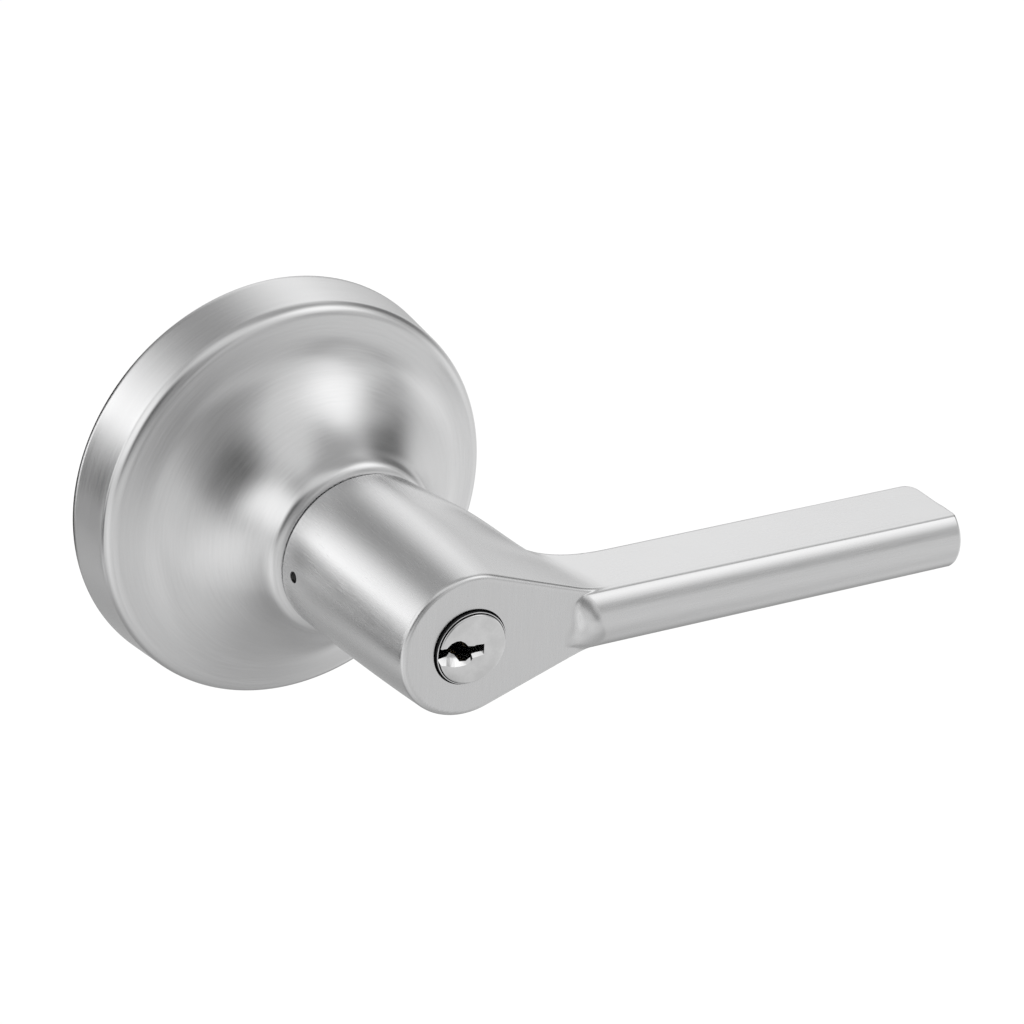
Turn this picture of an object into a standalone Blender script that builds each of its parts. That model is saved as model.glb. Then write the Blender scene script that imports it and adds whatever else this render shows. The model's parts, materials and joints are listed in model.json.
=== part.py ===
"""Outside trim of a lever handle lockset, key cylinder in the lever.

The lever turns about the world Y axis. The door face is the plane y = 0. The
room side, called the front, is -Y and the door is +Y. The blade of the lever
points along +X, which is to the right seen from the room, and +Z is up.
All dimensions below are millimetres; meshes are made in metres.
"""

import bmesh
import bpy
from math import asin, cos, degrees, hypot, pi, radians, sin, sqrt
from mathutils import Matrix, Vector

MM = 0.001

# ---------------------------------------------------------------- dimensions
# rose (escutcheon cup)
ROSE_RADIUS = 44.45            # 3-1/2 in across
ROSE_RIM_RADIUS = 43.55        # side wall draws in towards the shoulder
ROSE_RIM_DEPTH = 10.8
ROSE_SHOULDER = 3.4            # rounding between side wall and dish
ROSE_SHOULDER_STEPS = 4
ROSE_DISH_STEPS = 9
ROSE_WALL = 1.3
COLLAR_FACE_Y = -38.0          # front of the collar lip
COLLAR_RADIUS = 19.6
COLLAR_BORE = 14.6
COLLAR_THICK = 2.2

# Bezier control points of the bell, shoulder to collar: radius, y
DISH_CONTROL = ((39.9, -14.35), (31.5, -15.6), (22.0, -21.5), (20.9, -33.2))

# lever neck: its section is the hull of a big circle and a nose circle
NECK_BACK_Y = -38.4
NECK_FACE_Y = -83.0
NECK_FACE_RADIUS = 15.0
NECK_TAPER = 0.064             # radius gained per mm towards the door
NOSE_RADIUS = 6.2              # teardrop's small end, at the face

# columns: y, x of the nose circle's centre, radius of the nose circle
NOSE_STATIONS = (
    (NECK_BACK_Y, 0.8, 17.85),
    (-45.0, 3.6, 16.9),
    (-52.0, 8.0, 14.7),
    (-58.0, 13.0, 11.6),
    (-62.5, 18.2, 8.6),
    (-66.5, 24.0, NOSE_RADIUS),
    (NECK_FACE_Y, 27.7, NOSE_RADIUS),
)
# y of each ring of the neck, back to front
NECK_RINGS_Y = (
    NECK_BACK_Y, -45.0, -49.0, -52.0, -55.0, -58.0, -60.3, -62.5, -66.5, NECK_FACE_Y,
)

# lever blade
BLADE_TIP_X = 112.6
BLADE_HALF = 6.1               # half height
BLADE_FRONT_Y = NECK_FACE_Y
BLADE_BACK_Y = -67.2
BLADE_SETBACK = 0.6            # root's front edges lie this far behind the face
SETBACK_RAMP = (25.0, 28.0)    # x over which the setback fades out
BULLNOSE = 3.4                 # crest of the rounded front, ahead of the face
BULLNOSE_RAMP = (27.0, 31.0)   # x over which the bullnose rises
BULLNOSE_FULLNESS = 0.78       # 1 is a full half ellipse, less is a flatter arc
BACK_CROWN = 1.9
TIP_CORNER = 2.6               # rounding of the tip's back corner
BLADE_STEPS = 12               # steps across the front, and across the back
# x of each ring of the blade, root to tip
BLADE_RINGS_X = (20.0, 26.0, 28.0, 29.0, 30.0, 31.0, 110.0, 111.3, 112.2, BLADE_TIP_X)

# key cylinder
PLUG_RADIUS = 6.35
PLUG_HEAD_RADIUS = 7.45
PLUG_GAP = 0.12                # between plug and housing
PLUG_FACE_Y = -82.75
PLUG_HEAD_BACK_Y = PLUG_FACE_Y + 1.9
PLUG_BACK_Y = -52.0
PLUG_SOCKET_RADIUS = 5.2       # recess in the back of the plug's outline
PLUG_SOCKET_DEPTH = 3.6
HOUSING_RADIUS = 7.95
HOUSING_FACE_Y = -82.6
HOUSING_BACK_Y = -53.0
HOUSING_HOLE = HOUSING_RADIUS + 0.2
HOUSING_HOLE_BACK_Y = -48.0
PIN_BLOCK_X = 13.0             # outer end of the pin block
PIN_BLOCK_HALF = 3.7
PIN_RADIUS = 1.35
PIN_HOLE = PIN_RADIUS + 0.2
PIN_PITCH = 3.96
PIN_FIRST_Y = -76.0
KEY_PIN_LENGTHS = (3.4, 4.3, 3.1, 4.7, 3.7)
PINS_Y = [PIN_FIRST_Y + PIN_PITCH * i for i in range(len(KEY_PIN_LENGTHS))]
KEY_PIN_TOP_X = PLUG_RADIUS - 0.1      # just inside the shear line
DRIVER_PIN_LOW_X = PLUG_RADIUS + 0.2   # just outside it
DRIVER_PIN_BODY = 2.7
DRIVER_PIN_STEM = 0.5

# outline of the keyway seen from the front, with two side wards: x, z
KEYWAY = (
    (-9.0, 1.15), (-5.6, 1.15), (-4.9, 1.9), (-3.6, 2.3), (-2.4, 1.9),
    (-1.4, 0.75), (0.2, 0.55), (0.8, 1.0), (2.6, 1.0),
    (2.6, -0.75), (0.4, -0.95), (-1.4, -1.2), (-2.0, -1.7),
    (-3.4, -1.7), (-4.0, -1.0), (-4.6, -1.0), (-5.2, -1.6), (-9.0, -1.6),
)

# tube that carries the lever
TUBE_RADIUS = 12.1
TUBE_BORE = 10.6
TUBE_FRONT_Y = -50.0
TUBE_BACK_Y = 14.0
TUBE_FIT = TUBE_RADIUS + 0.15  # bore of the parts that turn with the tube
TONGUE_GAP_HALF = 7.5          # half width of the gap between the drive tongues
GROOVE_FRONT_Y, GROOVE_BACK_Y = -2.0, -0.7
GROOVE_RADIUS = 11.3
RING_FRONT_Y, RING_BACK_Y = -1.8, -0.9
RING_RADIUS = 14.3
RING_BORE = 11.45
RING_GAP = 14.0                # half angle of the retaining ring's gap
LEVER_BORE = TUBE_RADIUS + 0.25

# lever catch
CATCH_Y = -43.0
CATCH_RADIUS = 1.75
CATCH_TIP_X = -14.6
CATCH_SPRING_X = (-8.65, -5.1)
BRACKET_X = (-4.6, -3.8)
BRACKET_HALF = 3.6
RELEASE_HOLE_RADIUS = 1.2

# spring cage inside the rose
CAGE_RADIUS = 31.0
CAGE_WALL_RADIUS = 26.4
FLOOR_FRONT_Y, FLOOR_BACK_Y = -3.9, -2.2
CAGE_FRONT_Y = -12.2
COVER_FRONT_Y, COVER_BACK_Y = -13.8, -12.4
LINER_FRONT_Y, LINER_BACK_Y = -1.9, 0.0
LINER_RADIUS = 41.6
DRIVER_FRONT_Y, DRIVER_BACK_Y = -11.8, -5.9
DRIVER_HUB_RADIUS = 16.2
HUB_GAP = 0.6                  # between the driver's hub and the cage's lug
TOOTH_DEPTH = 1.9              # stop tooth, inwards from the lug
NOTCH_DEPTH = 1.75             # stop notch, into the driver's hub
LEVER_SWING = 50.0             # degrees each way
STOP_TOOTH = 4.0               # half angle of the stop tooth
LUG_HALF = 9.0                 # half angle of the spring lugs
SCREW_CIRCLE = 28.7
SCREW_ANGLES = (45, 135, 225, 315)

# return springs, in the cage's annular channel
CHANNEL_RADIUS = 21.6
CHANNEL_Y = (DRIVER_FRONT_Y + DRIVER_BACK_Y) / 2
SPRING_MARGIN = LUG_HALF + 3.0 # angle from a lug's middle to a spring's end

# bush round the tube
BUSH_RADIUS = 13.9
BUSH_FLANGE_RADIUS = 17.0

# through-bolt posts
POST_X = 19.0
POST_RADIUS = 4.0
POST_HEAD_RADIUS = 4.4
POST_NECK_RADIUS = 3.05        # where it passes the cage floor and the liner
POST_HOLE = POST_NECK_RADIUS + 0.25
POST_BORE = 1.65
POST_END_Y = 24.0

# tailpiece
GUIDE_FRONT_Y, GUIDE_BACK_Y = -7.0, -3.2
TAIL_HALF_WIDTH = 3.0
TAIL_HALF_THICK = 0.75
TAIL_END_Y = 0.0               # its end face lies in the door plane

# columns: base colour, roughness; every finish is a metal
FINISHES = {
    "satin": ((0.66, 0.66, 0.66), 0.32),
    "bright": ((0.80, 0.80, 0.79), 0.12),
    "plated": ((0.62, 0.61, 0.57), 0.40),
    "steel": ((0.50, 0.50, 0.50), 0.35),
    "brass": ((0.72, 0.55, 0.25), 0.30),
    "spring": ((0.35, 0.35, 0.36), 0.30),
    "bronze": ((0.55, 0.38, 0.20), 0.45),
    "zinc": ((0.52, 0.53, 0.54), 0.50),
}

# local Z of a turned or extruded piece laid along the world +Y or +X axis
ALONG_Y = Matrix.Rotation(radians(-90), 4, "X")
ALONG_X = Matrix.Rotation(radians(90), 4, "Y")

# --------------------------------------------------------- scene and pivots
for old in list(bpy.data.objects):
    bpy.data.objects.remove(old, do_unlink=True)

PARTS = bpy.data.collections.new("lever_handle_lockset")
CUTTERS = bpy.data.collections.new("cutters")
bpy.context.scene.collection.children.link(PARTS)
bpy.context.scene.collection.children.link(CUTTERS)
CUTTERS.hide_render = True


def make_pivot(name, parent=None):
    """An empty at the world origin, which lies on the lever's axis."""
    pivot = bpy.data.objects.new(name, None)
    pivot.empty_display_size = 0.01
    pivot.parent = parent
    PARTS.objects.link(pivot)
    return pivot


# fixed trim, the lever, the key plug and the lever catch each hang on a pivot
TRIM_PIVOT = make_pivot("pivot_trim")
LEVER_PIVOT = make_pivot("pivot_lever", TRIM_PIVOT)
PLUG_PIVOT = make_pivot("pivot_plug", LEVER_PIVOT)
CATCH_PIVOT = make_pivot("pivot_catch", LEVER_PIVOT)


# ---------------------------------------------------- materials and placing
def metal(name, colour, roughness):
    made = bpy.data.materials.new(name)
    made.use_nodes = True
    shader = made.node_tree.nodes["Principled BSDF"]
    shader.inputs["Base Color"].default_value = (*colour, 1.0)
    shader.inputs["Roughness"].default_value = roughness
    shader.inputs["Metallic"].default_value = 1.0
    made.diffuse_color = (*colour, 1.0)
    return made


def place(obj, pivot, finish):
    """Links a finished part under its pivot, with its own material."""
    PARTS.objects.link(obj)
    obj.parent = pivot
    colour, roughness = FINISHES[finish]
    obj.data.materials.append(metal(obj.name + "_" + finish, colour, roughness))


def shift(obj, x=0.0, y=0.0, z=0.0):
    """Moves an object in world axes, in mm."""
    obj.matrix_world = Matrix.Translation(Vector((x, y, z)) * MM) @ obj.matrix_world
    return obj


def smooth(mesh):
    mesh.shade_smooth()
    mesh.set_sharp_from_angle(angle=radians(32))


# --------------------------------------------------------- outlines in 2D
def polar(radius, angle, centre=(0.0, 0.0)):
    return (centre[0] + radius * cos(angle), centre[1] + radius * sin(angle))


def circle(radius, count, centre=(0.0, 0.0)):
    return [polar(radius, 2 * pi * i / count, centre) for i in range(count)]


def arc(radius, first, last, count, centre=(0.0, 0.0)):
    """Points on an arc, angles in degrees, ends included."""
    return [
        polar(radius, radians(first + (last - first) * i / (count - 1)), centre)
        for i in range(count)
    ]


def signed_area(points):
    return 0.5 * sum(
        a[0] * b[1] - b[0] * a[1] for a, b in zip(points, points[1:] + points[:1])
    )


# ------------------------------------------------------------- solid makers
def turned(name, profile, segments, frame=ALONG_Y):
    """A profile of (radius, height) in mm, turned a full circle with Screw.

    A profile whose ends lie on the axis makes a solid, any other is a closed
    loop and makes a ring. The loop is put in the order that faces outwards.
    """
    solid = profile[0][0] < 1e-6 and profile[-1][0] < 1e-6
    points = list(profile)
    if signed_area(points) > 0:
        points.reverse()
    edges = [(i, i + 1) for i in range(len(points) - 1)]
    if not solid:
        edges.append((len(points) - 1, 0))
    mesh = bpy.data.meshes.new(name)
    mesh.from_pydata([(r * MM, 0.0, height * MM) for r, height in points], edges, [])
    obj = bpy.data.objects.new(name, mesh)
    obj.matrix_world = frame
    screw = obj.modifiers.new("Screw", "SCREW")
    screw.axis = "Z"
    screw.steps = segments
    screw.render_steps = segments
    screw.use_merge_vertices = True
    screw.merge_threshold = 0.00001
    screw.use_smooth_shade = True
    return obj


def plate(name, loops, front, back):
    """A flat outline with holes, a filled curve extruded from y front to back.

    Loops are (x, z) points of the world.
    """
    curve = bpy.data.curves.new(name, "CURVE")
    curve.dimensions = "2D"
    curve.fill_mode = "BOTH"
    curve.extrude = (back - front) / 2 * MM
    for loop in loops:
        spline = curve.splines.new("POLY")
        spline.points.add(len(loop) - 1)
        for point, (x, z) in zip(spline.points, loop):
            # local Y points along world -Z once the piece lies along Y
            point.co = (x * MM, -z * MM, 0.0, 1.0)
        spline.use_cyclic_u = True
    obj = bpy.data.objects.new(name, curve)
    obj.matrix_world = ALONG_Y
    return shift(obj, y=(front + back) / 2)


def new_object(name, shape):
    """An object from a bmesh, which is freed."""
    mesh = bpy.data.meshes.new(name)
    shape.to_mesh(mesh)
    shape.free()
    return bpy.data.objects.new(name, mesh)


def rod(name, radius, low, high, segments, frame=ALONG_Y):
    """A plain cylinder along Y (or X) between low and high."""
    shape = bmesh.new()
    bmesh.ops.create_cone(
        shape,
        cap_ends=True,
        cap_tris=False,
        segments=segments,
        radius1=radius * MM,
        radius2=radius * MM,
        depth=(high - low) * MM,
    )
    obj = new_object(name, shape)
    smooth(obj.data)
    middle = (frame @ Vector((0, 0, 1))) * ((low + high) / 2)
    obj.matrix_world = Matrix.Translation(middle * MM) @ frame
    return obj


def block(name, low, high):
    """A box between two corners, in mm."""
    shape = bmesh.new()
    bmesh.ops.create_cube(shape, size=1.0)
    size = [(b - a) * MM for a, b in zip(low, high)]
    bmesh.ops.scale(shape, vec=size, verts=shape.verts)
    return shift(new_object(name, shape), *[(a + b) / 2 for a, b in zip(low, high)])


def loft(name, rings):
    """A closed solid through rings of equal point count, capped at both ends."""
    shape = bmesh.new()
    rows = [[shape.verts.new(Vector(point) * MM) for point in ring] for ring in rings]
    count = len(rings[0])
    for a, b in zip(rows, rows[1:]):
        for i in range(count):
            j = (i + 1) % count
            shape.faces.new((a[i], a[j], b[j], b[i]))
    shape.faces.new(rows[0])
    shape.faces.new(rows[-1])
    bmesh.ops.recalc_face_normals(shape, faces=shape.faces)
    return new_object(name, shape)


def coil(name, path, radius, turns, wire, per_turn):
    """A coil spring round a path: path(t) gives a point and two side vectors."""
    curve = bpy.data.curves.new(name, "CURVE")
    curve.dimensions = "3D"
    curve.bevel_depth = wire / 2 * MM
    curve.bevel_resolution = 0
    curve.use_fill_caps = True
    spline = curve.splines.new("POLY")
    steps = turns * per_turn
    spline.points.add(steps)
    for i, point in enumerate(spline.points):
        t = i / steps
        centre, side, other_side = path(t)
        angle = 2 * pi * turns * t
        spoke = Vector(side) * cos(angle) + Vector(other_side) * sin(angle)
        point.co = (*((Vector(centre) + spoke * radius) * MM), 1.0)
    return bpy.data.objects.new(name, curve)


def path_along_x(start, end, y):
    """A coil's straight path at height y, from x = start to x = end."""
    return lambda t: ((start + (end - start) * t, y, 0), (0, 1, 0), (0, 0, 1))


def as_mesh(obj):
    """Replaces a curve, or a mesh with modifiers, by its plain welded mesh."""
    bpy.context.scene.collection.objects.link(obj)
    bpy.context.view_layer.update()
    graph = bpy.context.evaluated_depsgraph_get()
    mesh = bpy.data.meshes.new_from_object(obj.evaluated_get(graph))
    shape = bmesh.new()
    shape.from_mesh(mesh)
    bmesh.ops.remove_doubles(shape, verts=shape.verts, dist=1e-6)
    bmesh.ops.dissolve_degenerate(shape, dist=1e-7, edges=shape.edges)
    bmesh.ops.recalc_face_normals(shape, faces=shape.faces)
    shape.to_mesh(mesh)
    shape.free()
    name = obj.name
    made = bpy.data.objects.new(name, mesh)
    made.matrix_world = obj.matrix_world.copy()
    bpy.data.objects.remove(obj, do_unlink=True)
    made.name = name
    return made


def boolean(obj, helper, operation):
    CUTTERS.objects.link(helper)
    helper.hide_render = True
    helper.display_type = "WIRE"
    modifier = obj.modifiers.new(operation.title() + "_" + helper.name, "BOOLEAN")
    modifier.operation = operation
    modifier.object = helper
    modifier.solver = "EXACT"


def cut(obj, cutter):
    boolean(obj, cutter, "DIFFERENCE")


def join(obj, other):
    boolean(obj, other, "UNION")


# -------------------------------------------------------------------- rose
def dish(t):
    """The rose's bell from shoulder (t = 0) to collar (t = 1): radius, y."""
    weights = ((1 - t) ** 3, 3 * t * (1 - t) ** 2, 3 * t * t * (1 - t), t**3)
    return tuple(
        sum(weight * point[axis] for weight, point in zip(weights, DISH_CONTROL))
        for axis in (0, 1)
    )


def rose_outer():
    """Outer profile of the rose, door to collar: radius, y."""
    points = [(ROSE_RADIUS, 0.0), (ROSE_RADIUS, -0.6), (ROSE_RIM_RADIUS, -ROSE_RIM_DEPTH)]
    centre = (ROSE_RIM_RADIUS - ROSE_SHOULDER, -ROSE_RIM_DEPTH)
    points += arc(ROSE_SHOULDER, 0, -90, ROSE_SHOULDER_STEPS + 1, centre)[1:]
    points += [dish(i / ROSE_DISH_STEPS) for i in range(1, ROSE_DISH_STEPS + 1)]
    # the lip round the neck
    points += [(20.35, -35.2), (COLLAR_RADIUS, -36.7), (18.6, -37.6), (17.5, COLLAR_FACE_Y)]
    return points


def inset(points, distance):
    """The same open profile, moved inwards by the sheet's thickness."""
    moved = []
    for i, (r, y) in enumerate(points):
        before = points[max(i - 1, 0)]
        after = points[min(i + 1, len(points) - 1)]
        dr, dy = after[0] - before[0], after[1] - before[1]
        length = hypot(dr, dy)
        moved.append((r + dy / length * distance, y - dr / length * distance))
    return moved


def make_rose():
    outer = rose_outer()
    collar = [(COLLAR_BORE, COLLAR_FACE_Y), (COLLAR_BORE, COLLAR_FACE_Y + COLLAR_THICK)]
    # the inside follows every third point, from the collar back to the door
    inner = inset(outer, ROSE_WALL)[-4:0:-3]
    rim = [(ROSE_RADIUS - ROSE_WALL, 0.0)]
    place(turned("rose", outer + collar + inner + rim, 56), TRIM_PIVOT, "satin")


# ------------------------------------------------------ liner and spring cage
def post_holes():
    return [circle(POST_HOLE, 16, (POST_X * side, 0.0)) for side in (-1, 1)]


def screw_holes(radius):
    return [circle(radius, 10, polar(SCREW_CIRCLE, radians(a))) for a in SCREW_ANGLES]


def make_liner():
    loops = [circle(LINER_RADIUS, 56), circle(15.6, 28)] + post_holes()
    place(plate("rose_liner", loops, LINER_FRONT_Y, LINER_BACK_Y), TRIM_PIVOT, "plated")


def cage_inside():
    """Inner wall of the cage, with the fixed lug at the top and its tooth."""
    lug_radius = DRIVER_HUB_RADIUS + HUB_GAP
    points = arc(CAGE_WALL_RADIUS, 90 + LUG_HALF, 450 - LUG_HALF, 41)
    points += arc(lug_radius, 90 - LUG_HALF, 90 - STOP_TOOTH, 3)
    points += arc(lug_radius - TOOTH_DEPTH, 90 - STOP_TOOTH, 90 + STOP_TOOTH, 3)
    points += arc(lug_radius, 90 + STOP_TOOTH, 90 + LUG_HALF, 3)
    return points


def make_cage():
    rim = circle(CAGE_RADIUS, 48)
    wall_loops = [rim, cage_inside()] + screw_holes(1.15)
    # the wall runs on into the floor so that the two join
    cage = as_mesh(plate("spring_cage", wall_loops, CAGE_FRONT_Y, FLOOR_FRONT_Y + 0.6))
    floor_loops = [rim, circle(12.5, 32)] + post_holes()
    join(cage, as_mesh(plate("cage_floor", floor_loops, FLOOR_FRONT_Y, FLOOR_BACK_Y)))
    place(cage, TRIM_PIVOT, "zinc")


def make_cover():
    loops = [circle(CAGE_RADIUS, 48), circle(14.2, 32)] + screw_holes(1.35)
    place(plate("cage_cover", loops, COVER_FRONT_Y, COVER_BACK_Y), TRIM_PIVOT, "plated")


def make_cover_screw(number, angle):
    """A pan-head screw with a straight slot, its head in front of the cover."""
    head_back = COVER_FRONT_Y - 0.15
    end = FLOOR_FRONT_Y - 0.6
    profile = [
        (0.0, head_back - 1.0), (1.5, head_back - 1.0), (2.1, head_back - 0.6),
        (2.1, head_back), (1.0, head_back), (1.0, end), (0.0, end),
    ]
    screw = as_mesh(turned("cover_screw_%d" % number, profile, 12))
    slot = block(
        "slot_%d" % number, (-2.6, head_back - 1.6, -0.28), (2.6, head_back - 0.55, 0.28)
    )
    x, z = polar(SCREW_CIRCLE, radians(angle))
    shift(screw, x=x, z=z)
    cut(screw, shift(slot, x=x, z=z))
    place(screw, TRIM_PIVOT, "steel")


def make_bush():
    """Flanged bush that the tube turns in."""
    bore = TUBE_RADIUS + 0.2
    front, back = -24.0, -12.1
    flange_front, flange_back = COVER_FRONT_Y - 1.9, COVER_FRONT_Y - 0.2
    profile = [
        (bore, front), (BUSH_RADIUS, front), (BUSH_RADIUS, flange_front),
        (BUSH_FLANGE_RADIUS, flange_front), (BUSH_FLANGE_RADIUS, flange_back),
        (BUSH_RADIUS, flange_back), (BUSH_RADIUS, back), (bore, back),
    ]
    place(turned("hub_bush", profile, 36), TRIM_PIVOT, "bronze")


def make_post(label, side):
    """A headed sleeve, bored from its back end for a through bolt."""
    head_front, head_back = -5.5, FLOOR_FRONT_Y - 0.2
    body_front = 0.3
    profile = [
        (0.0, head_front), (POST_HEAD_RADIUS, head_front), (POST_HEAD_RADIUS, head_back),
        (POST_NECK_RADIUS, head_back), (POST_NECK_RADIUS, body_front),
        (POST_RADIUS, body_front), (POST_RADIUS, POST_END_Y - 0.6),
        (POST_RADIUS - 0.6, POST_END_Y), (POST_BORE + 0.25, POST_END_Y),
        (POST_BORE, POST_END_Y - 0.4), (POST_BORE, 4.0), (0.0, 3.0),
    ]
    post = turned("through_bolt_post_" + label, profile, 16)
    place(shift(post, x=side * POST_X), TRIM_PIVOT, "plated")


def make_return_spring(label, first, last):
    """A coil bent round the cage's channel between two angles in degrees."""

    def channel(t):
        angle = radians(first + (last - first) * t)
        x, z = polar(CHANNEL_RADIUS, angle)
        return (x, CHANNEL_Y, z), (cos(angle), 0, sin(angle)), (0, 1, 0)

    spring = coil(
        "return_spring_" + label, channel, radius=2.15, turns=10, wire=1.2, per_turn=8
    )
    place(spring, TRIM_PIVOT, "spring")


# ------------------------------------------------------ what turns in the cage
def driver_outline():
    """Hub with the stop notch at the top and the spring lug at the bottom."""
    notch = LEVER_SWING + STOP_TOOTH + 0.4
    points = arc(DRIVER_HUB_RADIUS - NOTCH_DEPTH, 90 - notch, 90 + notch, 15)
    points += arc(DRIVER_HUB_RADIUS, 90 + notch, 270 - LUG_HALF, 15)
    points += arc(CAGE_WALL_RADIUS - 0.5, 270 - LUG_HALF, 270 + LUG_HALF, 5)
    points += arc(DRIVER_HUB_RADIUS, 270 + LUG_HALF, 450 - notch, 15)
    return points


def make_driver():
    loops = [driver_outline(), circle(TUBE_FIT, 32)]
    place(plate("spring_driver", loops, DRIVER_FRONT_Y, DRIVER_BACK_Y), LEVER_PIVOT, "steel")


def make_thrust_washer():
    """Washer between the driver and the cage floor."""
    front, back = DRIVER_BACK_Y + 0.2, FLOOR_FRONT_Y - 0.2
    profile = [(TUBE_FIT, front), (14.2, front), (14.2, back), (TUBE_FIT, back)]
    place(turned("thrust_washer", profile, 32), LEVER_PIVOT, "bronze")


def make_tube():
    profile = [
        (TUBE_BORE, TUBE_FRONT_Y), (TUBE_RADIUS - 0.4, TUBE_FRONT_Y),
        (TUBE_RADIUS, TUBE_FRONT_Y + 0.4), (TUBE_RADIUS, GROOVE_FRONT_Y),
        (GROOVE_RADIUS, GROOVE_FRONT_Y), (GROOVE_RADIUS, GROOVE_BACK_Y),
        (TUBE_RADIUS, GROOVE_BACK_Y), (TUBE_RADIUS, TUBE_BACK_Y), (TUBE_BORE, TUBE_BACK_Y),
    ]
    tube = as_mesh(turned("lever_tube", profile, 36))
    # the gap between the two tongues that drive the lock's retractor
    gap = block(
        "tube_gap",
        (-14.0, 3.0, -TONGUE_GAP_HALF),
        (14.0, TUBE_BACK_Y + 2, TONGUE_GAP_HALF),
    )
    cut(tube, gap)
    # slot for the lever's key, in the top of the front end
    cut(tube, block("tube_slot", (-2.6, TUBE_FRONT_Y - 2, 8.0), (2.6, TUBE_FRONT_Y + 5.5, 14.0)))
    # window of the catch
    window = rod("tube_window", CATCH_RADIUS + 0.15, -14.0, -8.0, 20, ALONG_X)
    cut(tube, shift(window, y=CATCH_Y))
    place(tube, LEVER_PIVOT, "steel")


def make_retaining_ring():
    """Open ring in the tube's groove, its gap at the bottom."""
    first, last = -90 + RING_GAP, 270 - RING_GAP
    loop = arc(RING_RADIUS, first, last, 37) + arc(RING_BORE, last, first, 37)
    place(plate("retaining_ring", [loop], RING_FRONT_Y, RING_BACK_Y), LEVER_PIVOT, "spring")


def make_tail_guide():
    """Disc inside the tube that keeps the tailpiece on the axis."""
    loops = [circle(TUBE_BORE - 0.2, 28), circle(3.35, 18)]
    place(plate("tail_guide", loops, GUIDE_FRONT_Y, GUIDE_BACK_Y), LEVER_PIVOT, "bronze")


# ------------------------------------------------------------- lever catch
def make_catch():
    """A flanged pin pointing along -X, with a short stem for its spring."""
    profile = [
        (0.0, CATCH_TIP_X), (CATCH_RADIUS - 0.5, CATCH_TIP_X),
        (CATCH_RADIUS, CATCH_TIP_X + 0.5), (CATCH_RADIUS, -9.9),
        (2.7, -9.9), (2.7, -9.1), (1.0, -9.1), (1.0, -8.2), (0.0, -8.2),
    ]
    catch = turned("lever_catch", profile, 20, ALONG_X)
    place(shift(catch, y=CATCH_Y), CATCH_PIVOT, "steel")


def make_catch_spring():
    path = path_along_x(*CATCH_SPRING_X, CATCH_Y)
    spring = coil("catch_spring", path, radius=1.75, turns=3, wire=0.5, per_turn=10)
    place(spring, LEVER_PIVOT, "spring")


def make_catch_bracket():
    """A chord plate across the tube that the catch spring leans on."""
    outer_x, inner_x = BRACKET_X
    half_chord = sqrt((TUBE_BORE - 0.25) ** 2 - outer_x**2)
    bracket = block(
        "catch_bracket",
        (outer_x, CATCH_Y - BRACKET_HALF, -half_chord),
        (inner_x, CATCH_Y + BRACKET_HALF, half_chord),
    )
    place(bracket, LEVER_PIVOT, "steel")


# -------------------------------------------------------------------- lever
def nose_circle(y):
    """Centre x and radius of the neck's nose circle, between its stations."""
    behind, ahead = next(
        pair for pair in zip(NOSE_STATIONS, NOSE_STATIONS[1:]) if pair[1][0] <= y <= pair[0][0]
    )
    share = (behind[0] - y) / (behind[0] - ahead[0])
    return [a + (b - a) * share for a, b in zip(behind[1:], ahead[1:])]


def neck_ring(y):
    """Hull of the two circles, points counter-clockwise seen from the front."""
    radius = NECK_FACE_RADIUS + NECK_TAPER * (y - NECK_FACE_Y)
    nose_x, nose_radius = nose_circle(y)
    # angle of the upper tangent line's normal
    first = 90 - degrees(asin((radius - nose_radius) / nose_x))
    points = arc(radius, first, 360 - first, 37)
    points += arc(nose_radius, -first, first, 17, (nose_x, 0.0))
    return [(x, y, z) for x, z in points]


def ramp(x, first, last):
    """0 up to x = first, 1 from x = last, straight in between."""
    return max(0.0, min(1.0, (x - first) / (last - first)))


def blade_ring(x):
    """Section of the blade at x: front from top to bottom, back from bottom to top."""
    front = BLADE_FRONT_Y + BLADE_SETBACK * (1 - ramp(x, *SETBACK_RAMP))
    bulge = BULLNOSE * sin(ramp(x, *BULLNOSE_RAMP) * pi / 2)
    back = BLADE_BACK_Y
    into_corner = x - (BLADE_TIP_X - TIP_CORNER)
    if into_corner > 0:
        back -= TIP_CORNER - sqrt(max(0.0, TIP_CORNER**2 - into_corner**2))
    edge = sqrt(1 - BULLNOSE_FULLNESS)
    heights = [cos(pi * i / BLADE_STEPS) for i in range(BLADE_STEPS + 1)]
    points = []
    for height in heights:
        crest = (sqrt(1 - BULLNOSE_FULLNESS * height**2) - edge) / (1 - edge)
        points.append((x, front - bulge * crest, BLADE_HALF * height))
    for height in heights:
        points.append((x, back + BACK_CROWN * (1 - height**2), -BLADE_HALF * height))
    return points


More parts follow.
